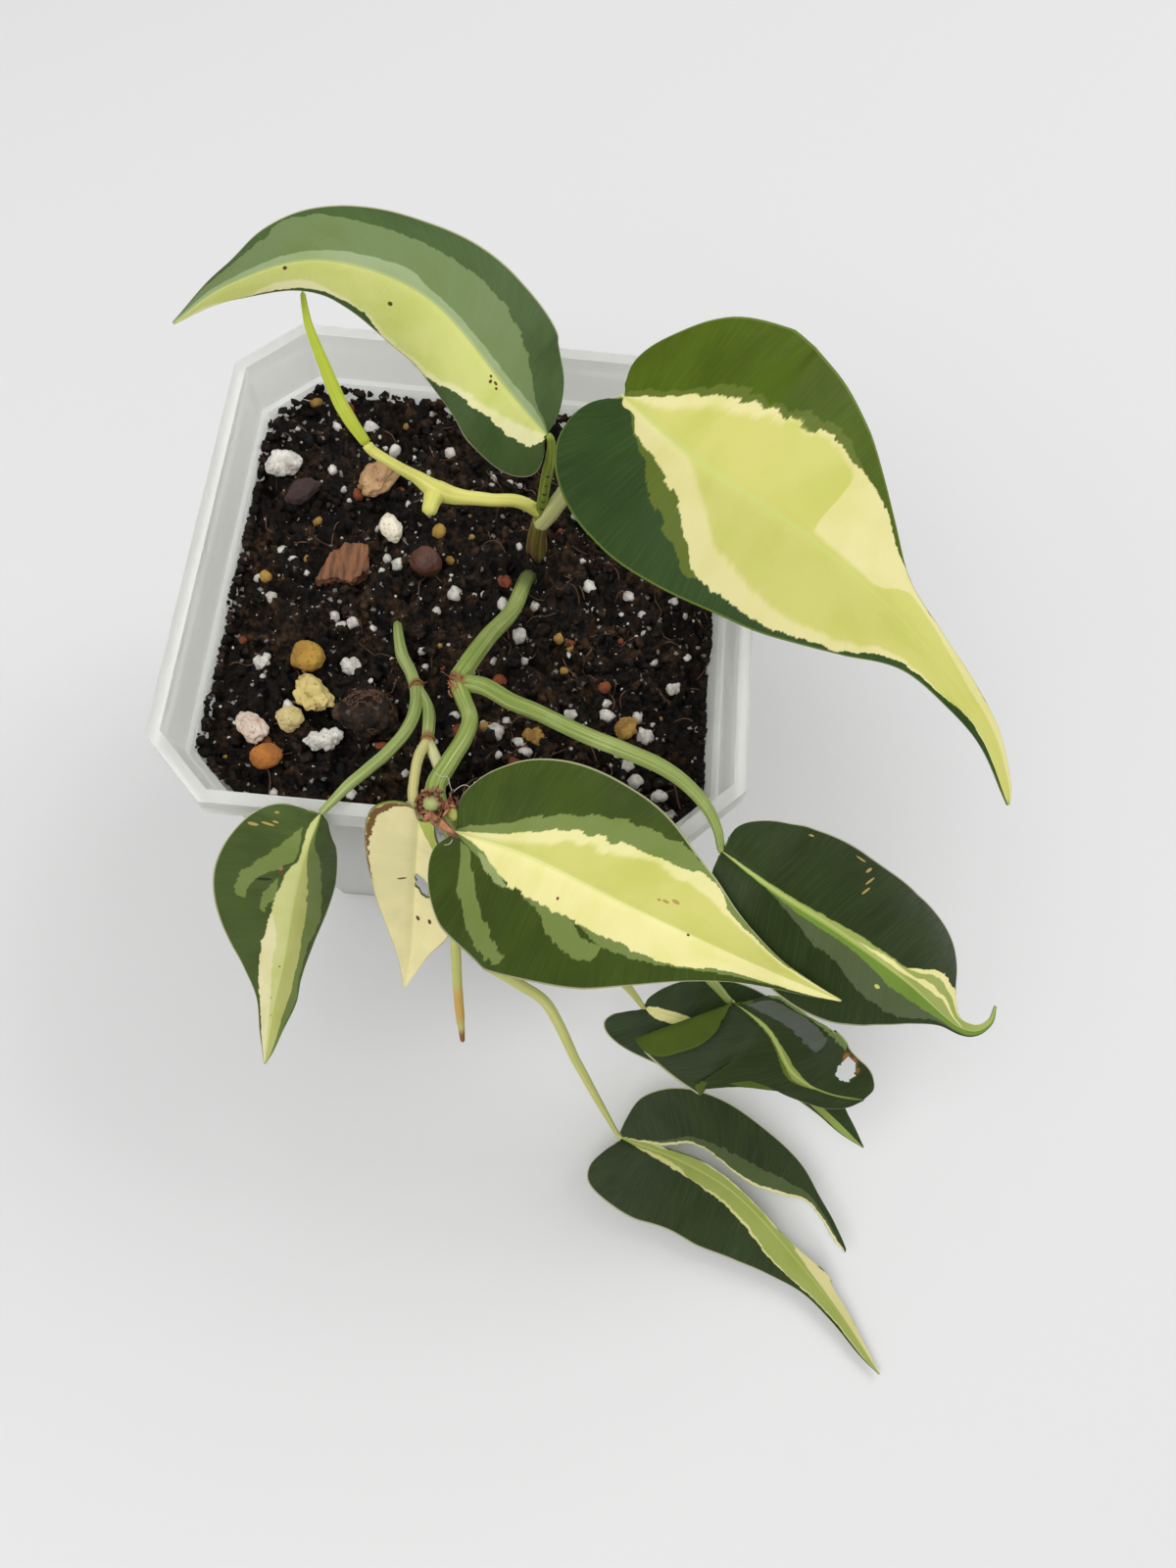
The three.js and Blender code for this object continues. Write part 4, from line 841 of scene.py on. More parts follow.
def leaf_paint(name, look, halves=("left", "right"), gloss=0.36):
    """The upper side of a blade: patches with edges stepped along the veins, faint veins, a satin gloss."""
    paint = Paint(name, gloss, Specular_IOR_Level=0.14)
    parts = paint.split(paint.node("ShaderNodeUVMap", {}, uv_map="UVMap"))
    s = parts[0]
    across = paint.math("MULTIPLY_ADD", parts[1], 2, -1)
    t = paint.math("ABSOLUTE", across)
    is_right = paint.math("GREATER_THAN", across, 0)

    side_step = paint.math("MULTIPLY", is_right, 5)
    long_way = paint.vector(paint.math("MULTIPLY", s, 46), paint.math("MULTIPLY", across, 2.2))
    fine_way = paint.vector(paint.math("MULTIPLY", s, 190), paint.math("MULTIPLY", across, 5))
    steps = paint.math("FLOOR", paint.math("MULTIPLY_ADD", s, 44, side_step))
    step = paint.node("ShaderNodeTexWhiteNoise", {"W": steps}, noise_dimensions="1D")
    drift = paint.grain(1, 3, long_way)
    fine = paint.grain(1, 2, fine_way)
    cloud = paint.grain(1, 3, paint.vector(paint.math("MULTIPLY", s, 9), across))
    jag = paint.math("MULTIPLY_ADD", step, 0.05, -0.11)
    jag = paint.math("MULTIPLY_ADD", drift, 0.12, jag)
    jag = paint.math("MULTIPLY_ADD", fine, 0.05, jag)
    jag = paint.math("MULTIPLY", jag, paint.fit(t, 0, 0.5, 0.15, 1))

    sides = []
    for half in halves:
        # a half may have its own dark green: leaf_2's right half takes a painted shaded copy
        color = look.get("dark_" + half, look["dark"])
        deep = [channel * look.get("depth", 0.78) for channel in tone(*color)[:3]] + [1]
        color = paint.mix(paint.fit(cloud, 0.35, 0.65), deep, color)
        for patch in look[half]:
            wavy = paint.math("ADD", t, jag)
            soft = 4 if patch[0] in SOFT_COLORS else 1
            inside = paint.math("SUBTRACT", paint.curve(s, patch[1]), wavy)
            share = paint.fit(inside, -0.008 * soft, 0.014 * soft)
            if len(patch) > 2:
                inner = paint.fit(paint.math("SUBTRACT", wavy, paint.curve(s, patch[2])), 0, 0.02)
                share = paint.math("MULTIPLY", share, inner)
            other = [channel * less for channel, less in zip(tone(*patch[0]), (0.9, 0.93, 0.76))] + [1]
            tint = paint.mix(paint.fit(cloud, 0.3, 0.62), other, patch[0])
            color = paint.mix(share, color, tint)
        sides.append(color)
    color = paint.mix(is_right, *sides) if len(sides) == 2 else sides[0]

    vein_way = paint.vector(paint.math("MULTIPLY", s, 330), paint.math("MULTIPLY", across, 1.5))
    veins = paint.fit(paint.grain(1, 2, vein_way), 0.4, 0.8)
    color = paint.mix(paint.math("MULTIPLY", veins, 0.035), color, (190, 200, 120))
    rib = paint.fit(t, 0.035, 0.012)
    color = paint.mix(paint.math("MULTIPLY", rib, 0.45), color, (196, 206, 120))
    margin = paint.fit(t, 0.975, 0.99)
    color = paint.mix(paint.math("MULTIPLY", margin, 0.6), color, look.get("margin", (214, 214, 168)))
    for place_s, place_w, size_s, size_w, *tint in look.get("specks", []):
        away_s = paint.math("MULTIPLY", paint.math("SUBTRACT", s, place_s), 1 / size_s)
        away_w = paint.math("MULTIPLY", paint.math("SUBTRACT", across, place_w), 1 / size_w)
        away = paint.math("MULTIPLY_ADD", away_s, away_s, paint.math("MULTIPLY", away_w, away_w))
        away = paint.math("MULTIPLY_ADD", jag, 6, away)
        color = paint.mix(paint.fit(away, 1.1, 0.7), color, tint[0] if tint else BROWN_SPECK)
    for point, radius in look.get("browned", []):
        color = paint.mix(paint.near(point, radius), color, (146, 96, 48))
    paint.color(color)
    paint.rough(paint.fit(fine, 0.2, 0.8, gloss - 0.05, gloss + 0.1))
    paint.bump(paint.math("MULTIPLY_ADD", veins, 0.4, drift), 0.08, 0.5)
    return paint


def under_paint(name, dark, light):
    """The duller, paler lower side and the thin margin of every blade."""
    paint = Paint(name, 0.6, Specular_IOR_Level=0.2)
    soft = paint.grain(180, 4)
    paint.color(paint.mix(soft, dark, light))
    paint.rough(paint.fit(soft, 0.3, 0.7, 0.5, 0.7))
    paint.bump(paint.grain(900, 2), 0.05, 0.5)
    return paint


underside = under_paint("leaf underside", (96, 112, 44), (124, 138, 66))
undersides = {"leaf_5": under_paint("rolled leaf underside", (58, 76, 14), (88, 104, 36))}
for number, name in enumerate(LEAVES):
    look = LOOKS[name]
    upper = leaf_paint(name + " upper side", look, gloss=0.5 if name == "leaf_9" else 0.42)
    paints = [upper, undersides.get(name, underside)]
    if "flap" in LEAVES[name]:
        flap_look = {
            "dark": look["dark"],
            "left": [
                ((74, 88, 52), [(0, 6), (30, 14), (50, 30), (75, 40), (100, 50)]),
                ((216, 206, 160), [(0, 6), (20, 5), (35, 3), (60, 6), (80, 14), (100, 40)]),
            ],
        }
        paints += [leaf_paint(name + " flap", flap_look, ["left"]), underside]
    blade(name, LEAVES[name], paints, 3 * number)


# stems, petioles and roots
# the number of grooves round a stem that get painted shade
GROOVES = 7


def stem_paint(name, base, shade, stripe, ribs, gloss=0.5, spots=()):
    """Green stem skin with painted shade in its grooves, fine lengthwise stripes and spots, given as their
    places, radii and colours.
    """
    paint = Paint(name, gloss, Specular_IOR_Level=0.25)
    uv = paint.node("ShaderNodeUVMap", {}, uv_map="UVMap")
    stretched = paint.node("ShaderNodeMapping", {"Vector": uv, "Scale": (3, ribs, 1)})
    lines = paint.grain(1.6, 3, stretched)
    cloud = paint.grain(240, 3)
    turn = paint.math("MULTIPLY_ADD", paint.split(uv)[1], 2 * math.pi * GROOVES, -math.pi * GROOVES)
    groove = paint.math("COSINE", turn)
    color = paint.mix(paint.fit(lines, 0.35, 0.65), base, shade)
    # painted shade: the grooves between the ribs are darkened towards the shade colour
    color = paint.mix(paint.fit(groove, -0.2, -1, 0, 0.7), color, shade)
    color = paint.mix(paint.fit(lines, 0.42, 0.28, 0, 0.8), color, stripe)
    color = paint.mix(paint.fit(cloud, 0.5, 0.8, 0, 0.25), color, stripe)
    for point, radius, tint in spots:
        color = paint.mix(paint.near(point, radius), color, tint)
    paint.color(color)
    paint.rough(paint.fit(cloud, 0.3, 0.7, gloss - 0.06, gloss + 0.1))
    paint.bump(lines, 0.12, 0.6)
    return paint


RING_TAN = (140, 104, 62)
RED_BROWN = (112, 62, 40)
VINE_SPOTS = [
    ((8.6, 4, 75.5), 3.5, (96, 108, 56)),
    ((9, 7, 74), 2.4, (70, 70, 44)),
    ((-0.6, -24.6, 89.6), 1.5, RED_BROWN),
    ((0.8, -24.8, 90.8), 0.8, RING_TAN),
]
vine_paint = stem_paint("vine skin", (164, 174, 104), (116, 138, 58), (200, 204, 146), 34, spots=VINE_SPOTS)
pale_paint = stem_paint("pale petiole skin", (206, 204, 132), (188, 192, 108), (220, 214, 152), 20)
cut_paint = stem_paint("cut stem end", (176, 186, 124), (160, 172, 104), (196, 200, 150), 8)


def stalks(table, skins, sides, ribs, depth=0.05):
    """The stems of a table. Each petiole is led on, thinner, to where the midrib of its blade starts."""
    bm = new_mesh()
    for part, stalk in table.items():
        points, radii = stalk["points"], stalk["radii"]
        if part.startswith("petiole_"):
            points = [*points, LEAVES[part.replace("petiole", "leaf")]["rib"][0]]
            radii = [*radii, 0.6 * radii[-1]]
        tube(bm, points, radii, sides, ribs=ribs, depth=depth, index=skins.get(part, 0))
    return bm


bm = stalks(VINE, {"petiole_6": 1, "petiole_7": 1, "stump": 2}, 30, 9)
outward(bm)
finish_piece("vine", bm, [vine_paint, pale_paint, cut_paint], "vine")

straw_paint = stem_paint("straw petiole skin", (208, 200, 142), (190, 184, 116), (220, 212, 164), 20)
ring_paint = stem_paint("ring scars", (150, 116, 70), (120, 86, 48), (168, 140, 92), 4)
LEFT_SPOTS = [
    ((-1.4, -40, 88.2), 4.2, (206, 204, 150)),
    ((-7.7, -22.4, 82.8), 1.15, RING_TAN),
    ((-3.6, -35, 88.6), 1.05, RING_TAN),
]
left_paint = stem_paint(
    "left stem skin", (166, 176, 112), (124, 144, 74), (198, 202, 146), 22, spots=LEFT_SPOTS
)


def ring_scar(bm, middle, axis, radius):
    """The thin raised ring that an old leaf leaves round a stem."""
    along = unit(np.array(axis))
    side = unit(np.cross(along, [0, 0, 1]))
    other = np.cross(along, side)
    turns = np.linspace(0, 2 * math.pi, 17)
    ring = [np.array(middle) + radius * (math.cos(a) * side + math.sin(a) * other) for a in turns]
    tube(bm, ring, [0.16, 0.2, 0.16], 8, 0.4, blunt=0.3, index=2)


bm = stalks(LEFT_STEM, {"petiole_9": 1}, 24, 7)
ring_scar(bm, (-7.7, -22.6, 82), (0.5, -0.7, 0.6), 1.3)
ring_scar(bm, (-3.6, -35.2, 88), (0.1, -0.95, 0.3), 1.12)
outward(bm)
finish_piece("left_stem", bm, [left_paint, straw_paint, ring_paint], "left_stem")

PETIOLE_SPECKS = [
    ((11, 11.4, 89.5), 0.5),
    ((11.2, 10.6, 93), 0.4),
    ((11.5, 9.6, 96.5), 0.5),
    ((11.9, 8.4, 100.5), 0.35),
    ((12.2, 7.2, 104.5), 0.5),
]
dark_specks = [(*speck, (62, 58, 30)) for speck in PETIOLE_SPECKS]
shoot_paint = stem_paint("new shoot skin", (226, 220, 128), (210, 208, 104), (234, 228, 156), 12)
green_stalk = stem_paint(
    "green petiole skin", (158, 172, 76), (116, 138, 46), (190, 198, 104), 14, spots=dark_specks
)
cream_stalk = stem_paint("cream petiole skin", (218, 216, 158), (204, 206, 136), (228, 224, 176), 12)
base_paint = stem_paint("back shoot base skin", (120, 120, 56), (98, 66, 42), (128, 140, 70), 12)
bm = stalks(BACK_SHOOT, {"petiole_1": 1, "petiole_2": 2, "new_shoot": 3, "stub": 3}, 22, 6, 0.04)
outward(bm)
finish_piece("back_shoot", bm, [base_paint, green_stalk, cream_stalk, shoot_paint], "back_shoot")

sheath_paint = stem_paint("new sheath skin", (196, 206, 74), (180, 194, 60), (214, 220, 106), 10)
bm = new_mesh()
tube(bm, NEW_SHEATH["points"], NEW_SHEATH["radii"], 20, ribs=3, depth=0.1)
outward(bm)
finish_piece("new_sheath", bm, [sheath_paint], "new_sheath")

ROOT_SPOTS = [((4.4, -71.5, 55), 4.5, (196, 160, 84)), ((5.2, -76, 47), 2.6, (140, 84, 40))]
root_paint = stem_paint(
    "aerial root skin", (196, 196, 122), (180, 184, 100), (206, 200, 140), 10, 0.6, ROOT_SPOTS
)
bm = new_mesh()
tube(bm, AERIAL_ROOT["points"], AERIAL_ROOT["radii"], 18)
outward(bm)
finish_piece("aerial_root", bm, [root_paint], "aerial_root")


# the dry papery sheath round the cut stump
def husk_paint():
    paint = Paint("dry husk", 0.8)
    rough = paint.grain(500, 5)
    paint.color(paint.mix(paint.fit(rough, 0.35, 0.65), (84, 44, 28), (188, 128, 92)))
    paint.rough(paint.fit(rough, 0.3, 0.7, 0.65, 0.9))
    paint.bump(rough, 0.3, 0.8)
    return paint


dry_paint = husk_paint()
bm = new_mesh()
HUSK_AXIS = unit(np.array([-0.1, -0.6, 0.8]))
HUSK_SIDE = unit(np.cross(HUSK_AXIS, [1, 0, 0]))
HUSK_OTHER = np.cross(HUSK_AXIS, HUSK_SIDE)
HUSK_FOOT = np.array([-0.75, -48.9, 94.1])


def husk(x, y):
    angle = np.pi * x
    ragged = wobble(np.stack([np.cos(angle), np.sin(angle), y], -1), 2.4)
    radius = 1.75 + 0.45 * y + 0.5 * ragged
    height = 1.7 * y * (1 + 0.9 * ragged)
    ring = HUSK_SIDE * (radius * np.cos(angle))[:, None] + HUSK_OTHER * (radius * np.sin(angle))[:, None]
    return HUSK_FOOT + ring + HUSK_AXIS * height[:, None]


made = grid(bm, 60, 8, husk)
seal(bm, made)


def scraps(bm, count, middle, reach, curl, thick):
    """Short curled strands of dead skin round a place."""
    for _ in range(count):
        start = np.array(middle) + [random.uniform(-r, r) for r in reach]
        turn = np.array([random.uniform(-curl, curl) for _ in range(3)])
        bend = np.array([random.uniform(-curl, curl) for _ in range(3)])
        strand = [start, start + 0.6 * turn, start + turn + 0.5 * bend, start + turn + bend]
        width = random.uniform(0.4, 1) * thick
        tube(bm, strand, [width, 1.3 * width, 0.3 * width], 7, 0.4, blunt=2)


for step in range(30):
    angle = 0.21 * step
    rim = HUSK_SIDE * (1.9 * math.cos(angle)) + HUSK_OTHER * (1.9 * math.sin(angle))
    scraps(bm, 2, HUSK_FOOT + rim + 0.6 * HUSK_AXIS, (0.4, 0.4, 0.5), 0.9, 0.26)
scraps(bm, 34, (2.2, -49.2, 93.6), (1, 1, 0.9), 1.1, 0.3)
scraps(bm, 12, (-0.4, -51.4, 94.4), (0.8, 0.5, 0.4), 0.9, 0.34)
tongue = [[-1, -50.6, 94.2], [-0.2, -51.7, 94.9], [1.7, -53.3, 96.3], [3.2, -54.6, 97], [4.5, -55.6, 97.4]]
tube(bm, tongue, [0.5, 0.62, 0.7, 0.5, 0.15], 16, 0.3, ribs=5, depth=0.18)
bud = [[2.4, -49.6, 93.2], [3.1, -51, 94.2], [3.3, -51.6, 94.6]]
tube(bm, bud, [1.1, 0.9, 0.5], 16, 0.3, ribs=4, depth=0.08, index=1)
bud_paint = stem_paint("green bud", (176, 180, 96), (150, 150, 70), (196, 196, 130), 8)
finish_piece("dry_sheath", bm, [dry_paint, bud_paint], "dry_sheath")

# fine hairs and scraps at the nodes
hair_paint = stem_paint("root hair", (206, 206, 184), (170, 166, 140), (226, 226, 208), 4)
bm = new_mesh()
HAIRS = [
    [[-0.9, -44.2, 95.6], [0.4, -45, 95.8], [1.3, -44.8, 95.6], [1.8, -46, 95.4], [2.4, -47.3, 95]],
    [[2.4, -47.3, 95], [3, -46.6, 95.3], [4.2, -45.9, 95.5], [5.4, -46.3, 95.2]],
    [[3.9, -47.6, 94.6], [4.6, -47.3, 94.8], [5.2, -47.8, 94.4]],
    [[3.6, -55.6, 97], [3.2, -56.4, 96.8], [2.2, -56.7, 96.6]],
]
for hair in HAIRS:
    tube(bm, hair, [0.07, 0.07, 0.05], 6, 0.5, blunt=1)
outward(bm)
finish_piece("root_hairs", bm, [hair_paint])
bm = new_mesh()
scraps(bm, 12, (-0.2, -26.2, 90.2), (0.9, 0.8, 0.8), 1, 0.16)
scraps(bm, 7, (0.2, -24.6, 90.4), (0.5, 0.7, 0.4), 1.2, 0.12)
scraps(bm, 8, (4, -60.6, 71.4), (1, 0.5, 0.8), 1.5, 0.12)
outward(bm)
finish_piece("node_scraps", bm, [dry_paint])


# the pot
def octagon_reach(angle, half, cut):
    cos = np.abs(np.cos(angle))
    sin = np.abs(np.sin(angle))
    straight = half / np.maximum(np.maximum(cos, sin), 1e-6)
    return np.minimum(straight, (2 * half - cut) / (cos + sin))


def inner_half(z):
    share = (z - FLOOR) / (LEDGE_Z - FLOOR)
    return BASE_HALF - WALL + (BELOW_LEDGE - BASE_HALF + WALL) * share


def inner_cut(z):
    share = (z - FLOOR) / (LEDGE_Z - FLOOR)
    return BASE_CUT + (BELOW_CUT - BASE_CUT) * share


def pot_paint():
    """Milky clear plastic with faint flow marks and soil dust."""
    paint = Paint("milky plastic", 0.35, Transmission_Weight=0.6, IOR=1.2, Specular_IOR_Level=0.4)
    cloud = paint.grain(40, 3)
    dust = paint.fit(paint.grain(700, 5, roughness=0.7), 0.66, 0.72)
    color = paint.mix(cloud, (244, 245, 241), (252, 252, 249))
    paint.color(paint.mix(paint.math("MULTIPLY", dust, 0.35), color, (120, 108, 96)))
    paint.rough(paint.fit(cloud, 0.3, 0.7, 0.4, 0.5))
    paint.bump(cloud, 0.2, 0.2)
    return paint


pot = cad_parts["pot"].copy()
pot.data = pot.data.copy()
pot.name = "pot_shell"
bpy.context.scene.collection.objects.link(pot)
bm = bmesh.new()
bm.from_mesh(pot.data)
bmesh.ops.remove_doubles(bm, verts=bm.verts, dist=1e-6)
bmesh.ops.dissolve_limit(bm, angle_limit=math.radians(1), verts=bm.verts, edges=bm.edges)
bm.to_mesh(pot.data)
bm.free()
pot.data.materials.clear()
pot.data.materials.append(pot_paint().material)
for key in list(pot.keys()):
    del pot[key]
round_edges = pot.modifiers.new("softened edges", "BEVEL")
round_edges.width = 0.35 * METRES
round_edges.segments = 3
round_edges.limit_method = "ANGLE"
round_edges.harden_normals = True
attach(pot, "root")
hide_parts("pot")


# the mix
def soil_height(x, y):
    lumps = 0.6 * np.sin(0.31 * x + 1.3) * np.cos(0.27 * y) + 0.4 * np.sin(0.6 * x - 0.45 * y)
    return SOIL_TOP - SOIL_FALL_X * x / BELOW_LEDGE + SOIL_FALL_Y * y / BELOW_LEDGE + lumps


def ground(x, y):
    """The crumbly surface: the even one with clods, crumbs and pits."""
    rough = []
    for a, b in zip(np.atleast_1d(x), np.atleast_1d(y)):
        clod = noise.noise(Vector((0.17 * a, 0.17 * b, 3)))
        crumb = noise.turbulence(Vector((0.42 * a, 0.42 * b, 7)), 3, False)
        small = noise.noise(Vector((1.7 * a, 1.7 * b, 1)))
        rough.append(1.7 * clod + 2.4 * (crumb - 0.5) + 0.45 * small)
    return soil_height(x, y) - 0.5 + np.array(rough)


def soil_paint(name, dark, brown, speck_share=0.5):
    """Wet dark mix: near black with brown crumbs and fine pale grit."""
    paint = Paint(name, 0.85, Specular_IOR_Level=0.2)
    crumbs = paint.grain(420, 6, roughness=0.7)
    patches = paint.grain(90, 4)
    color = paint.mix(paint.fit(crumbs, 0.42, 0.72), dark, brown)
    color = paint.mix(paint.fit(patches, 0.44, 0.58, 0.75, 0), color, (7, 5, 4))
    grit = paint.node("ShaderNodeTexVoronoi", {"Vector": paint.place, "Scale": 1500}, out=1)
    chosen = paint.node("ShaderNodeSeparateColor", {0: grit})
    bright = paint.fit(chosen, 0.975, 0.99)
    color = paint.mix(paint.math("MULTIPLY", bright, speck_share), color, (196, 190, 182))
    paint.color(color)
    paint.rough(paint.fit(crumbs, 0.3, 0.7, 0.55, 0.95))
    paint.bump(crumbs, 0.5, 1)
    return paint


mix_paint = soil_paint("potting mix", (6, 4, 2), (82, 60, 42))
bm = new_mesh()


def soil_top(x, y):
    y = 2 * y - 1
    share = np.maximum(np.abs(x), np.abs(y))
    angle = np.arctan2(y, x)
    half = inner_half(SOIL_TOP) - SOIL_EDGE_GAP
    reach = octagon_reach(angle, half, inner_cut(SOIL_TOP)) * share
    flat_x, flat_y = reach * np.cos(angle), reach * np.sin(angle)
    z = ground(flat_x, flat_y)
    return np.stack([flat_x, flat_y, z], -1)


grid(bm, 290, 290, soil_top)
edge = [e for e in bm.edges if e.is_boundary]
for z in (60, FLOOR + 0.3):
    grown = bmesh.ops.extrude_edge_only(bm, edges=edge)["geom"]
    for vert in (g for g in grown if isinstance(g, bmesh.types.BMVert)):
        angle = math.atan2(vert.co.y, vert.co.x)
        reach = float(octagon_reach(angle, inner_half(z) - SOIL_EDGE_GAP, inner_cut(z)))
        vert.co = (reach * math.cos(angle), reach * math.sin(angle), z)
    edge = [e for e in grown if isinstance(e, bmesh.types.BMEdge) and e.is_boundary]
bmesh.ops.holes_fill(bm, edges=edge, sides=0)
outward(bm)
finish_piece("potting_mix", bm, [mix_paint], "soil")


SPREAD = 43.5
FOOT_CLEARANCE = 3.2
STEM_FEET = [stalk["main"]["points"][2][:2] for stalk in (VINE, LEFT_STEM, BACK_SHOOT)]


def scatter(count):
    """Places on the mix clear of the stems, each with its height."""
    places = []
    while len(places) < count:
        x, y = random.uniform(-SPREAD, SPREAD), random.uniform(-SPREAD, SPREAD)
        angle = math.atan2(y, x)
        clear = min(math.dist((x, y), foot) for foot in STEM_FEET) > FOOT_CLEARANCE
        if clear and math.hypot(x, y) < octagon_reach(angle, SPREAD, inner_cut(SOIL_TOP)):
            places.append((x, y, float(ground(x, y)[0])))
    return places


def lump(bm, place, radii, turn, detail, rough, scale, seed):
    """A closed irregular grain: a ball drawn out to its radii, with noise, turned and set in place."""
    made = bmesh.ops.create_icosphere(bm, subdivisions=detail, radius=1)["verts"]
    about_x, about_y, about_z = [Matrix.Rotation(angle, 3, axis) for angle, axis in zip(turn, "XYZ")]
    turned = about_z @ about_y @ about_x
    for vert in made:
        direction = vert.co.copy()
        swell = 1 + rough * noise.noise(direction * scale + Vector((seed, 2 * seed, 0)))
        swell += 0.4 * rough * noise.noise(direction * 3.1 * scale + Vector((0, seed, seed)))
        shaped = Vector(r * c * swell for r, c in zip(radii, direction))
        vert.co = turned @ shaped + Vector(place)


def any_turn():
    return [random.uniform(0, 6.28) for _ in range(3)]


def knobs(bm, place, radii, turn, seed, detail=4):
    """A grain of several grown-together knobs."""
    lump(bm, place, [0.85 * r for r in radii], turn, detail, 0.3, 1, seed)
    for number in range(5):
        way = Vector((math.cos(1.3 * number + seed), math.sin(1.3 * number + seed), 0.3 * (number % 3)))
        offset = [0.5 * r * w for r, w in zip(radii, way)]
        turned = Matrix.Rotation(turn[2], 3, "Z") @ Vector(offset)
        size = (0.42 + 0.07 * (number % 3)) * min(radii) + 0.1 * max(radii)
        lump(bm, Vector(place) + turned, [size] * 3, turn, detail - 1, 0.35, 1.2, seed + number)


CRUMBS = 1100
WALL_CRUMBS = 760
WALL_RADIUS = 43
crumb_paint = soil_paint("soil crumbs", (12, 8, 6), (84, 62, 46), 0.3)
bm = new_mesh()
for number, (x, y, z) in enumerate(scatter(CRUMBS)):
    size = random.choice([0.35, 0.5, 0.7, 1.1])
    radii = [size * random.uniform(0.6, 1.3) for _ in range(3)]
    lump(bm, (x, y, z + 0.25 * size), radii, any_turn(), 2 if size > 0.6 else 1, 0.7, 1.6, number)
for number in range(WALL_CRUMBS):
    angle = random.uniform(-math.pi, math.pi)
    heap = 0.5 + 3.4 * max(0, noise.noise(Vector((2.2 * math.cos(angle), 2.2 * math.sin(angle), 5))))
    x, y = WALL_RADIUS * math.cos(angle), WALL_RADIUS * math.sin(angle)
    z = float(soil_height(x, y)) - 0.3 + heap * random.random() ** 2.2
    z = min(z, LEDGE_Z - 0.5)
    size = random.choice([0.3, 0.45, 0.7, 1])
    reach = float(octagon_reach(angle, inner_half(z), inner_cut(z))) - 0.6 * size - random.random() * 0.5
    radii = [size * random.uniform(0.6, 1.2) for _ in range(3)]
    place = (reach * math.cos(angle), reach * math.sin(angle), z)
    lump(bm, place, radii, any_turn(), 1, 0.7, 1.6, number)
finish_piece("soil_crumbs", bm, [crumb_paint])


def stone_paint(name, base, shade, pit, pits=0.5, scale=700, gloss=0.85, stain=0.3):
    """Porous stone: two tones, small dark pits and a dusting of soil."""
    paint = Paint(name, gloss)
    cloud = paint.grain(scale * 0.4, 5)
    holes = paint.node("ShaderNodeTexVoronoi", {"Vector": paint.place, "Scale": scale * 1.6})
    dirt = paint.fit(paint.grain(scale * 1.1, 5, roughness=0.7), 0.6, 0.68)
    color = paint.mix(paint.fit(cloud, 0.35, 0.65), shade, base)
    color = paint.mix(paint.math("MULTIPLY", paint.fit(holes, 0.22, 0.1), pits), color, pit)
    color = paint.mix(paint.math("MULTIPLY", dirt, stain), color, (44, 34, 28))
    paint.color(color)
    paint.rough(paint.fit(cloud, 0.3, 0.7, gloss - 0.08, min(1, gloss + 0.1)))
    height = paint.math("SUBTRACT", cloud, paint.math("MULTIPLY", paint.fit(holes, 0.22, 0.1), 0.5))
    paint.bump(height, 0.35, 0.9)
    return paint


PERLITE = stone_paint("perlite", (226, 222, 214), (190, 184, 176), (96, 88, 82), 0.5, 900, stain=0.55)
PLAIN_STONES = {
    "clay_ball": ("clay", (98, 58, 40), (76, 44, 32), (50, 30, 24), 0.2, 600, 0.6),
    "tan_pumice": ("tan pumice", (196, 158, 116), (170, 132, 92), (84, 64, 46)),
    "white_perlite": ("white perlite", (236, 228, 206), (214, 204, 180), (120, 108, 92), 0.3),
    "dark_bark": ("dark bark", (64, 46, 42), (44, 32, 30), (24, 18, 16), 0.2, 500),
    "mustard_stone": ("mustard stone", (186, 146, 62), (158, 118, 44), (64, 48, 30)),
    "pale_stone": ("pale stone", (212, 192, 124), (188, 166, 98), (92, 78, 50)),
    "beige_stone": ("beige stone", (206, 188, 132), (186, 166, 110), (96, 82, 60)),
    "pink_pumice": ("pink pumice", (222, 204, 188), (196, 172, 154), (110, 90, 78), 0.5, 900),
    "orange_stone": ("orange stone", (178, 112, 46), (150, 88, 36), (84, 52, 28), 0.2),
}
stone_looks = {name: stone_paint(*look) for name, look in PLAIN_STONES.items()}
stone_looks["perlite_back_left"] = stone_looks["long_perlite"] = PERLITE
stone_looks["coir_lump"] = soil_paint("coir lump", (30, 22, 17), (98, 74, 56), 0.1)
# slot and unevenness of each stone
STONE_KINDS = {
    "clay_ball": ("baked_clay", 0.1),
    "tan_pumice": ("pumice", 0.3),
    "white_perlite": ("perlite", 0.16),
    "perlite_back_left": ("perlite", 0.5),
    "dark_bark": ("bark", 0.3),
    "mustard_stone": ("gravel", 0.16),
    "pale_stone": ("gravel", 0.45),
    "beige_stone": ("gravel", 0.2),
    "pink_pumice": ("pumice", 0.3),
    "orange_stone": ("gravel", 0.1),
    "long_perlite": ("perlite", 0.4),
    "coir_lump": ("bark", 0.5),
}
for number, (name, (slot_name, rough)) in enumerate(STONE_KINDS.items()):
    paint = stone_looks[name]
    stone = STONES[name]
    x, y = stone["at"]
    bm = new_mesh()
    place = (x, y, float(soil_height(x, y)) + stone["lift"])
    turn = (0, 0, math.radians(stone["turn"]))
    if paint is PERLITE:
        knobs(bm, place, stone["radii"], turn, number, 5)
    else:
        lump(bm, place, stone["radii"], turn, 5, 1.2 * rough, 1, 5 * number + 2)
    finish_piece(name, bm, [paint], name)


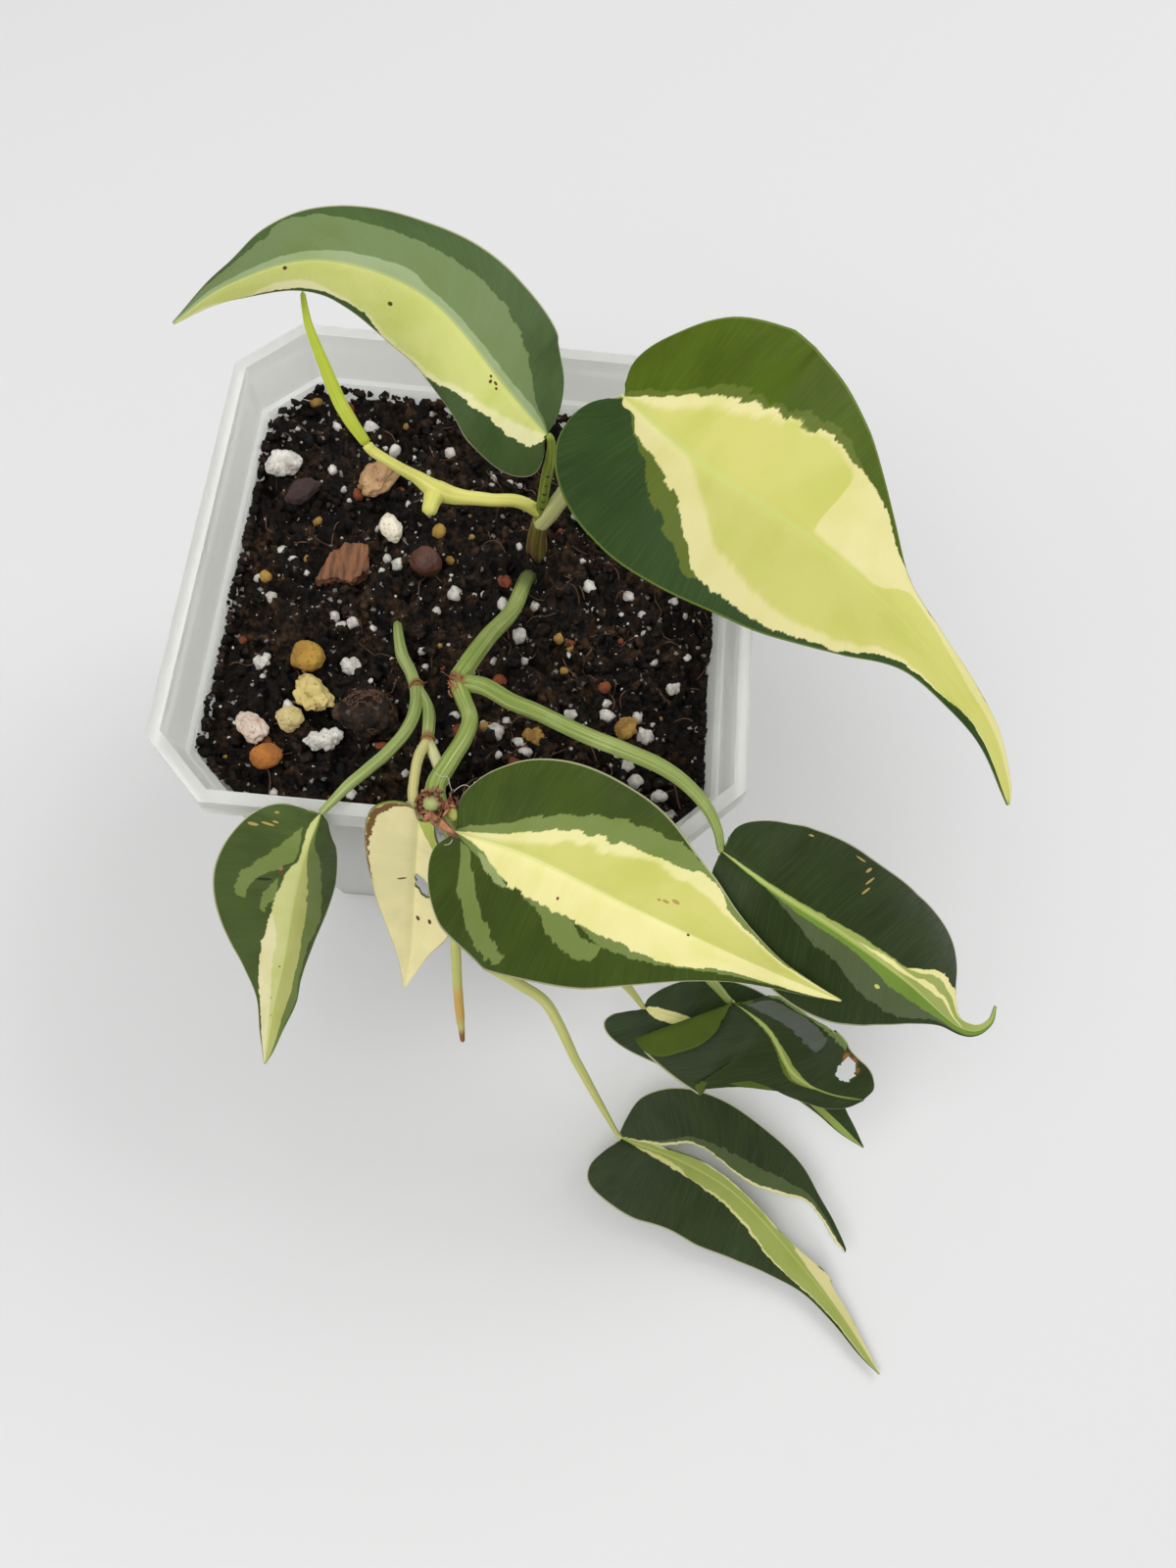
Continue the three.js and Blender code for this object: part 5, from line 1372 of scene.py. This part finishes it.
# the bark chip: a split piece with raised grain
def bark_paint():
    paint = Paint("bark", 0.75)
    turned = {"Vector": paint.place, "Rotation": (0, 0, 0.45), "Scale": (900, 160, 400)}
    lines = paint.grain(1, 4, paint.node("ShaderNodeMapping", turned))
    cloud = paint.grain(260, 4)
    color = paint.mix(paint.fit(lines, 0.35, 0.65), (66, 40, 26), (140, 92, 58))
    paint.color(paint.mix(paint.fit(cloud, 0.55, 0.75, 0, 0.7), color, (66, 42, 30)))
    paint.rough(paint.fit(lines, 0.3, 0.7, 0.6, 0.85))
    paint.bump(lines, 0.4, 1)
    return paint


CHIP_FOOT = 74.6
CHIP_THICKNESS = 2.4
CHIP_CORNERS = [(-25.2, 8.6), (-21.4, 8.2), (-20.6, 3.8), (-23.4, 0.6), (-26, 1.4), (-30, 0.2), (-29.2, 3.2),
    (-28.2, 6)]
bm = new_mesh()
corners = [bm.verts.new((x, y, 0)) for x, y in CHIP_CORNERS]
face = bm.faces.new(corners)
bmesh.ops.recalc_face_normals(bm, faces=bm.faces)
grown = bmesh.ops.extrude_face_region(bm, geom=[face])["geom"]
for vert in (g for g in grown if isinstance(g, bmesh.types.BMVert)):
    vert.co.z += CHIP_THICKNESS
bmesh.ops.subdivide_edges(bm, edges=bm.edges, cuts=5, use_grid_fill=True)
bmesh.ops.triangulate(bm, faces=[f for f in bm.faces if len(f.verts) > 4])
bmesh.ops.subdivide_edges(bm, edges=bm.edges, cuts=2, use_grid_fill=True)
for vert in bm.verts:
    x, y, z = vert.co
    grain_line = noise.noise(Vector((1.3 * x + 0.4 * y, 0.15 * y, z)))
    raised = CHIP_FOOT + z + 0.08 * (y - 4) + 0.35 * grain_line
    vert.co = (x + 0.25 * noise.noise(vert.co), y + 0.5 * grain_line, raised)
outward(bm)
finish_piece("bark_chip", bm, [bark_paint()], "bark_chip", smooth=False)

# small grains of perlite, yellow grit and brown chips at their places, then scattered ones
small_perlite = stone_paint(
    "small perlite", (224, 220, 212), (184, 178, 170), (90, 84, 78), 0.5, 1400, stain=0.5
)
small_yellow = stone_paint("yellow grit", (176, 138, 66), (140, 106, 46), (64, 50, 32), 0.4, 1100)
small_rust = stone_paint("rust chips", (138, 70, 36), (104, 52, 30), (52, 30, 22), 0.2, 900)
WHITE_PLACES = [
    (-21.1, -15.8, 2.2),
    (-37, -16.9, 1.9),
    (6.2, -25.3, 2),
    (33.4, -22.5, 2),
    (38.1, -12, 1.8),
    (39.1, -38.6, 2.8),
]
YELLOW_PLACES = [(13.3, -25.5, 2.4), (29.8, -21.9, 2.6)]
FINE_GRIT = 420
LUMP_FIBRES = 110
FIBRES = 150
GRAINS = {
    "small_perlite": (small_perlite, "perlite", WHITE_PLACES, 150),
    "yellow_grit": (small_yellow, "gravel", YELLOW_PLACES, 26),
    "rust_chips": (small_rust, "bark", [(4.7, 5.4, 1.6)], 26),
}
for name, (paint, slot_name, places, count) in GRAINS.items():
    bm = new_mesh()
    for number, (x, y, size) in enumerate(places):
        foot = (x, y, float(ground(x, y)[0]) + 0.5)
        knobs(bm, foot, (size, 0.75 * size, 0.65 * size), (0, 0, number), number)
    for number, (x, y, z) in enumerate(scatter(count)):
        size = random.choice([0.4, 0.5, 0.6, 0.8, 1, 1.3])
        radii = [size * random.uniform(0.7, 1.2) for _ in range(3)]
        lump(bm, (x, y, z + 0.25 * size), radii, any_turn(), 2, 0.4, 1.5, number)
    finish_piece(name, bm, [paint])

bm = new_mesh()
for number, (x, y, z) in enumerate(scatter(FINE_GRIT)):
    size = random.choice([0.1, 0.12, 0.16, 0.3])
    lump(bm, (x, y, z + 0.4 * size), (size, size, size), any_turn(), 1, 0.5, 1, number)
finish_piece("fine_grit", bm, [small_perlite])


# coir fibres
def fibre_paint():
    paint = Paint("coir fibre", 0.8)
    soft = paint.grain(400, 3)
    paint.color(paint.mix(soft, (62, 42, 30), (116, 84, 62)))
    paint.rough(paint.fit(soft, 0.3, 0.7, 0.7, 0.9))
    paint.bump(soft, 0.1, 0.5)
    return paint


bm = new_mesh()
lump_x, lump_y = STONES["coir_lump"]["at"]
lump_z = float(soil_height(lump_x, lump_y)) + STONES["coir_lump"]["lift"]
for _ in range(LUMP_FIBRES):
    points = []
    way = Vector((random.uniform(-1, 1), random.uniform(-1, 1), random.uniform(0, 1))).normalized()
    for step in range(4):
        spot = [r * c * random.uniform(0.98, 1.12) for r, c in zip(STONES["coir_lump"]["radii"], way)]
        points.append((lump_x + spot[0], lump_y + spot[1], lump_z + spot[2]))
        way = (way + 0.3 * Vector([random.uniform(-1, 1) for _ in range(3)])).normalized()
    tube(bm, points, [0.12, 0.08], 5, 0.7, blunt=2)
for x, y, z in scatter(FIBRES):
    if x < 10 and random.random() < 0.6:
        continue
    heading = random.uniform(0, 6.28)
    reach = random.uniform(1.2, 2.6)
    points = []
    for step in range(4):
        rise = 0.9 if step in (1, 2) else 0.1
        points.append((x, y, float(ground(x, y)[0]) + rise * random.uniform(0.4, 1)))
        heading += random.uniform(-0.8, 0.8)
        x = min(44, max(-44, x + reach * math.cos(heading)))
        y = min(44, max(-44, y + reach * math.sin(heading)))
    thick = random.uniform(0.09, 0.2)
    tube(bm, points, [thick, 0.7 * thick], 5, 0.7, blunt=2)
outward(bm)
finish_piece("coir_fibres", bm, [fibre_paint()])


# stage: a plain pale floor, soft light and the camera at the photograph's angle
floor_paint = Paint("pale floor", 0.9, Specular_IOR_Level=0.1)
floor_paint.color(floor_paint.mix(floor_paint.grain(3, 2), (220, 220, 220), (222, 222, 222)))
bm = new_mesh()
bmesh.ops.create_grid(bm, x_segments=4, y_segments=4, size=3)
mesh = bpy.data.meshes.new("floor")
bm.to_mesh(mesh)
bm.free()
mesh.materials.append(floor_paint.material)
floor = bpy.data.objects.new("floor", mesh)
bpy.context.scene.collection.objects.link(floor)


def soft_light(name, place, size, power):
    light = bpy.data.lights.new(name, "AREA")
    light.shape = "DISK"
    light.size = size
    light.energy = power
    lamp = bpy.data.objects.new(name, light)
    lamp.location = place
    lamp.rotation_euler = (Vector((0, 0, 0.08)) - lamp.location).to_track_quat("-Z", "Y").to_euler()
    bpy.context.scene.collection.objects.link(lamp)


soft_light("window light", (-0.3, -0.42, 1), 0.9, 6)
soft_light("back light", (0.6, 0.5, 0.9), 0.8, 4.6)
world = bpy.data.worlds.new("soft surroundings")
world.use_nodes = True
world.node_tree.nodes["Background"].inputs["Color"].default_value = (1, 1, 1, 1)
world.node_tree.nodes["Background"].inputs["Strength"].default_value = 0.55
bpy.context.scene.world = world
bpy.context.scene.view_settings.view_transform = "Standard"

AZIMUTH = math.radians(-1.361)
ELEVATION = math.radians(66.811)
ROLL = math.radians(6.552)
back = Vector((
    math.sin(AZIMUTH) * math.cos(ELEVATION),
    -math.cos(AZIMUTH) * math.cos(ELEVATION),
    math.sin(ELEVATION),
))
level = Vector((0, 0, 1)).cross(back).normalized()
upright = back.cross(level)
turned_x = math.cos(ROLL) * level + math.sin(ROLL) * upright
turned_y = math.cos(ROLL) * upright - math.sin(ROLL) * level
lens = bpy.data.cameras.new("camera")
lens.lens = 29.12
lens.sensor_fit = "VERTICAL"
lens.sensor_height = 36
lens.clip_start = 0.01
camera = bpy.data.objects.new("camera", lens)
camera.matrix_world = Matrix.Translation(METRES * Vector((21.66, -122.97, 280.36))) @ Matrix(
    (turned_x, turned_y, back)
).transposed().to_4x4()
bpy.context.scene.collection.objects.link(camera)
bpy.context.scene.camera = camera
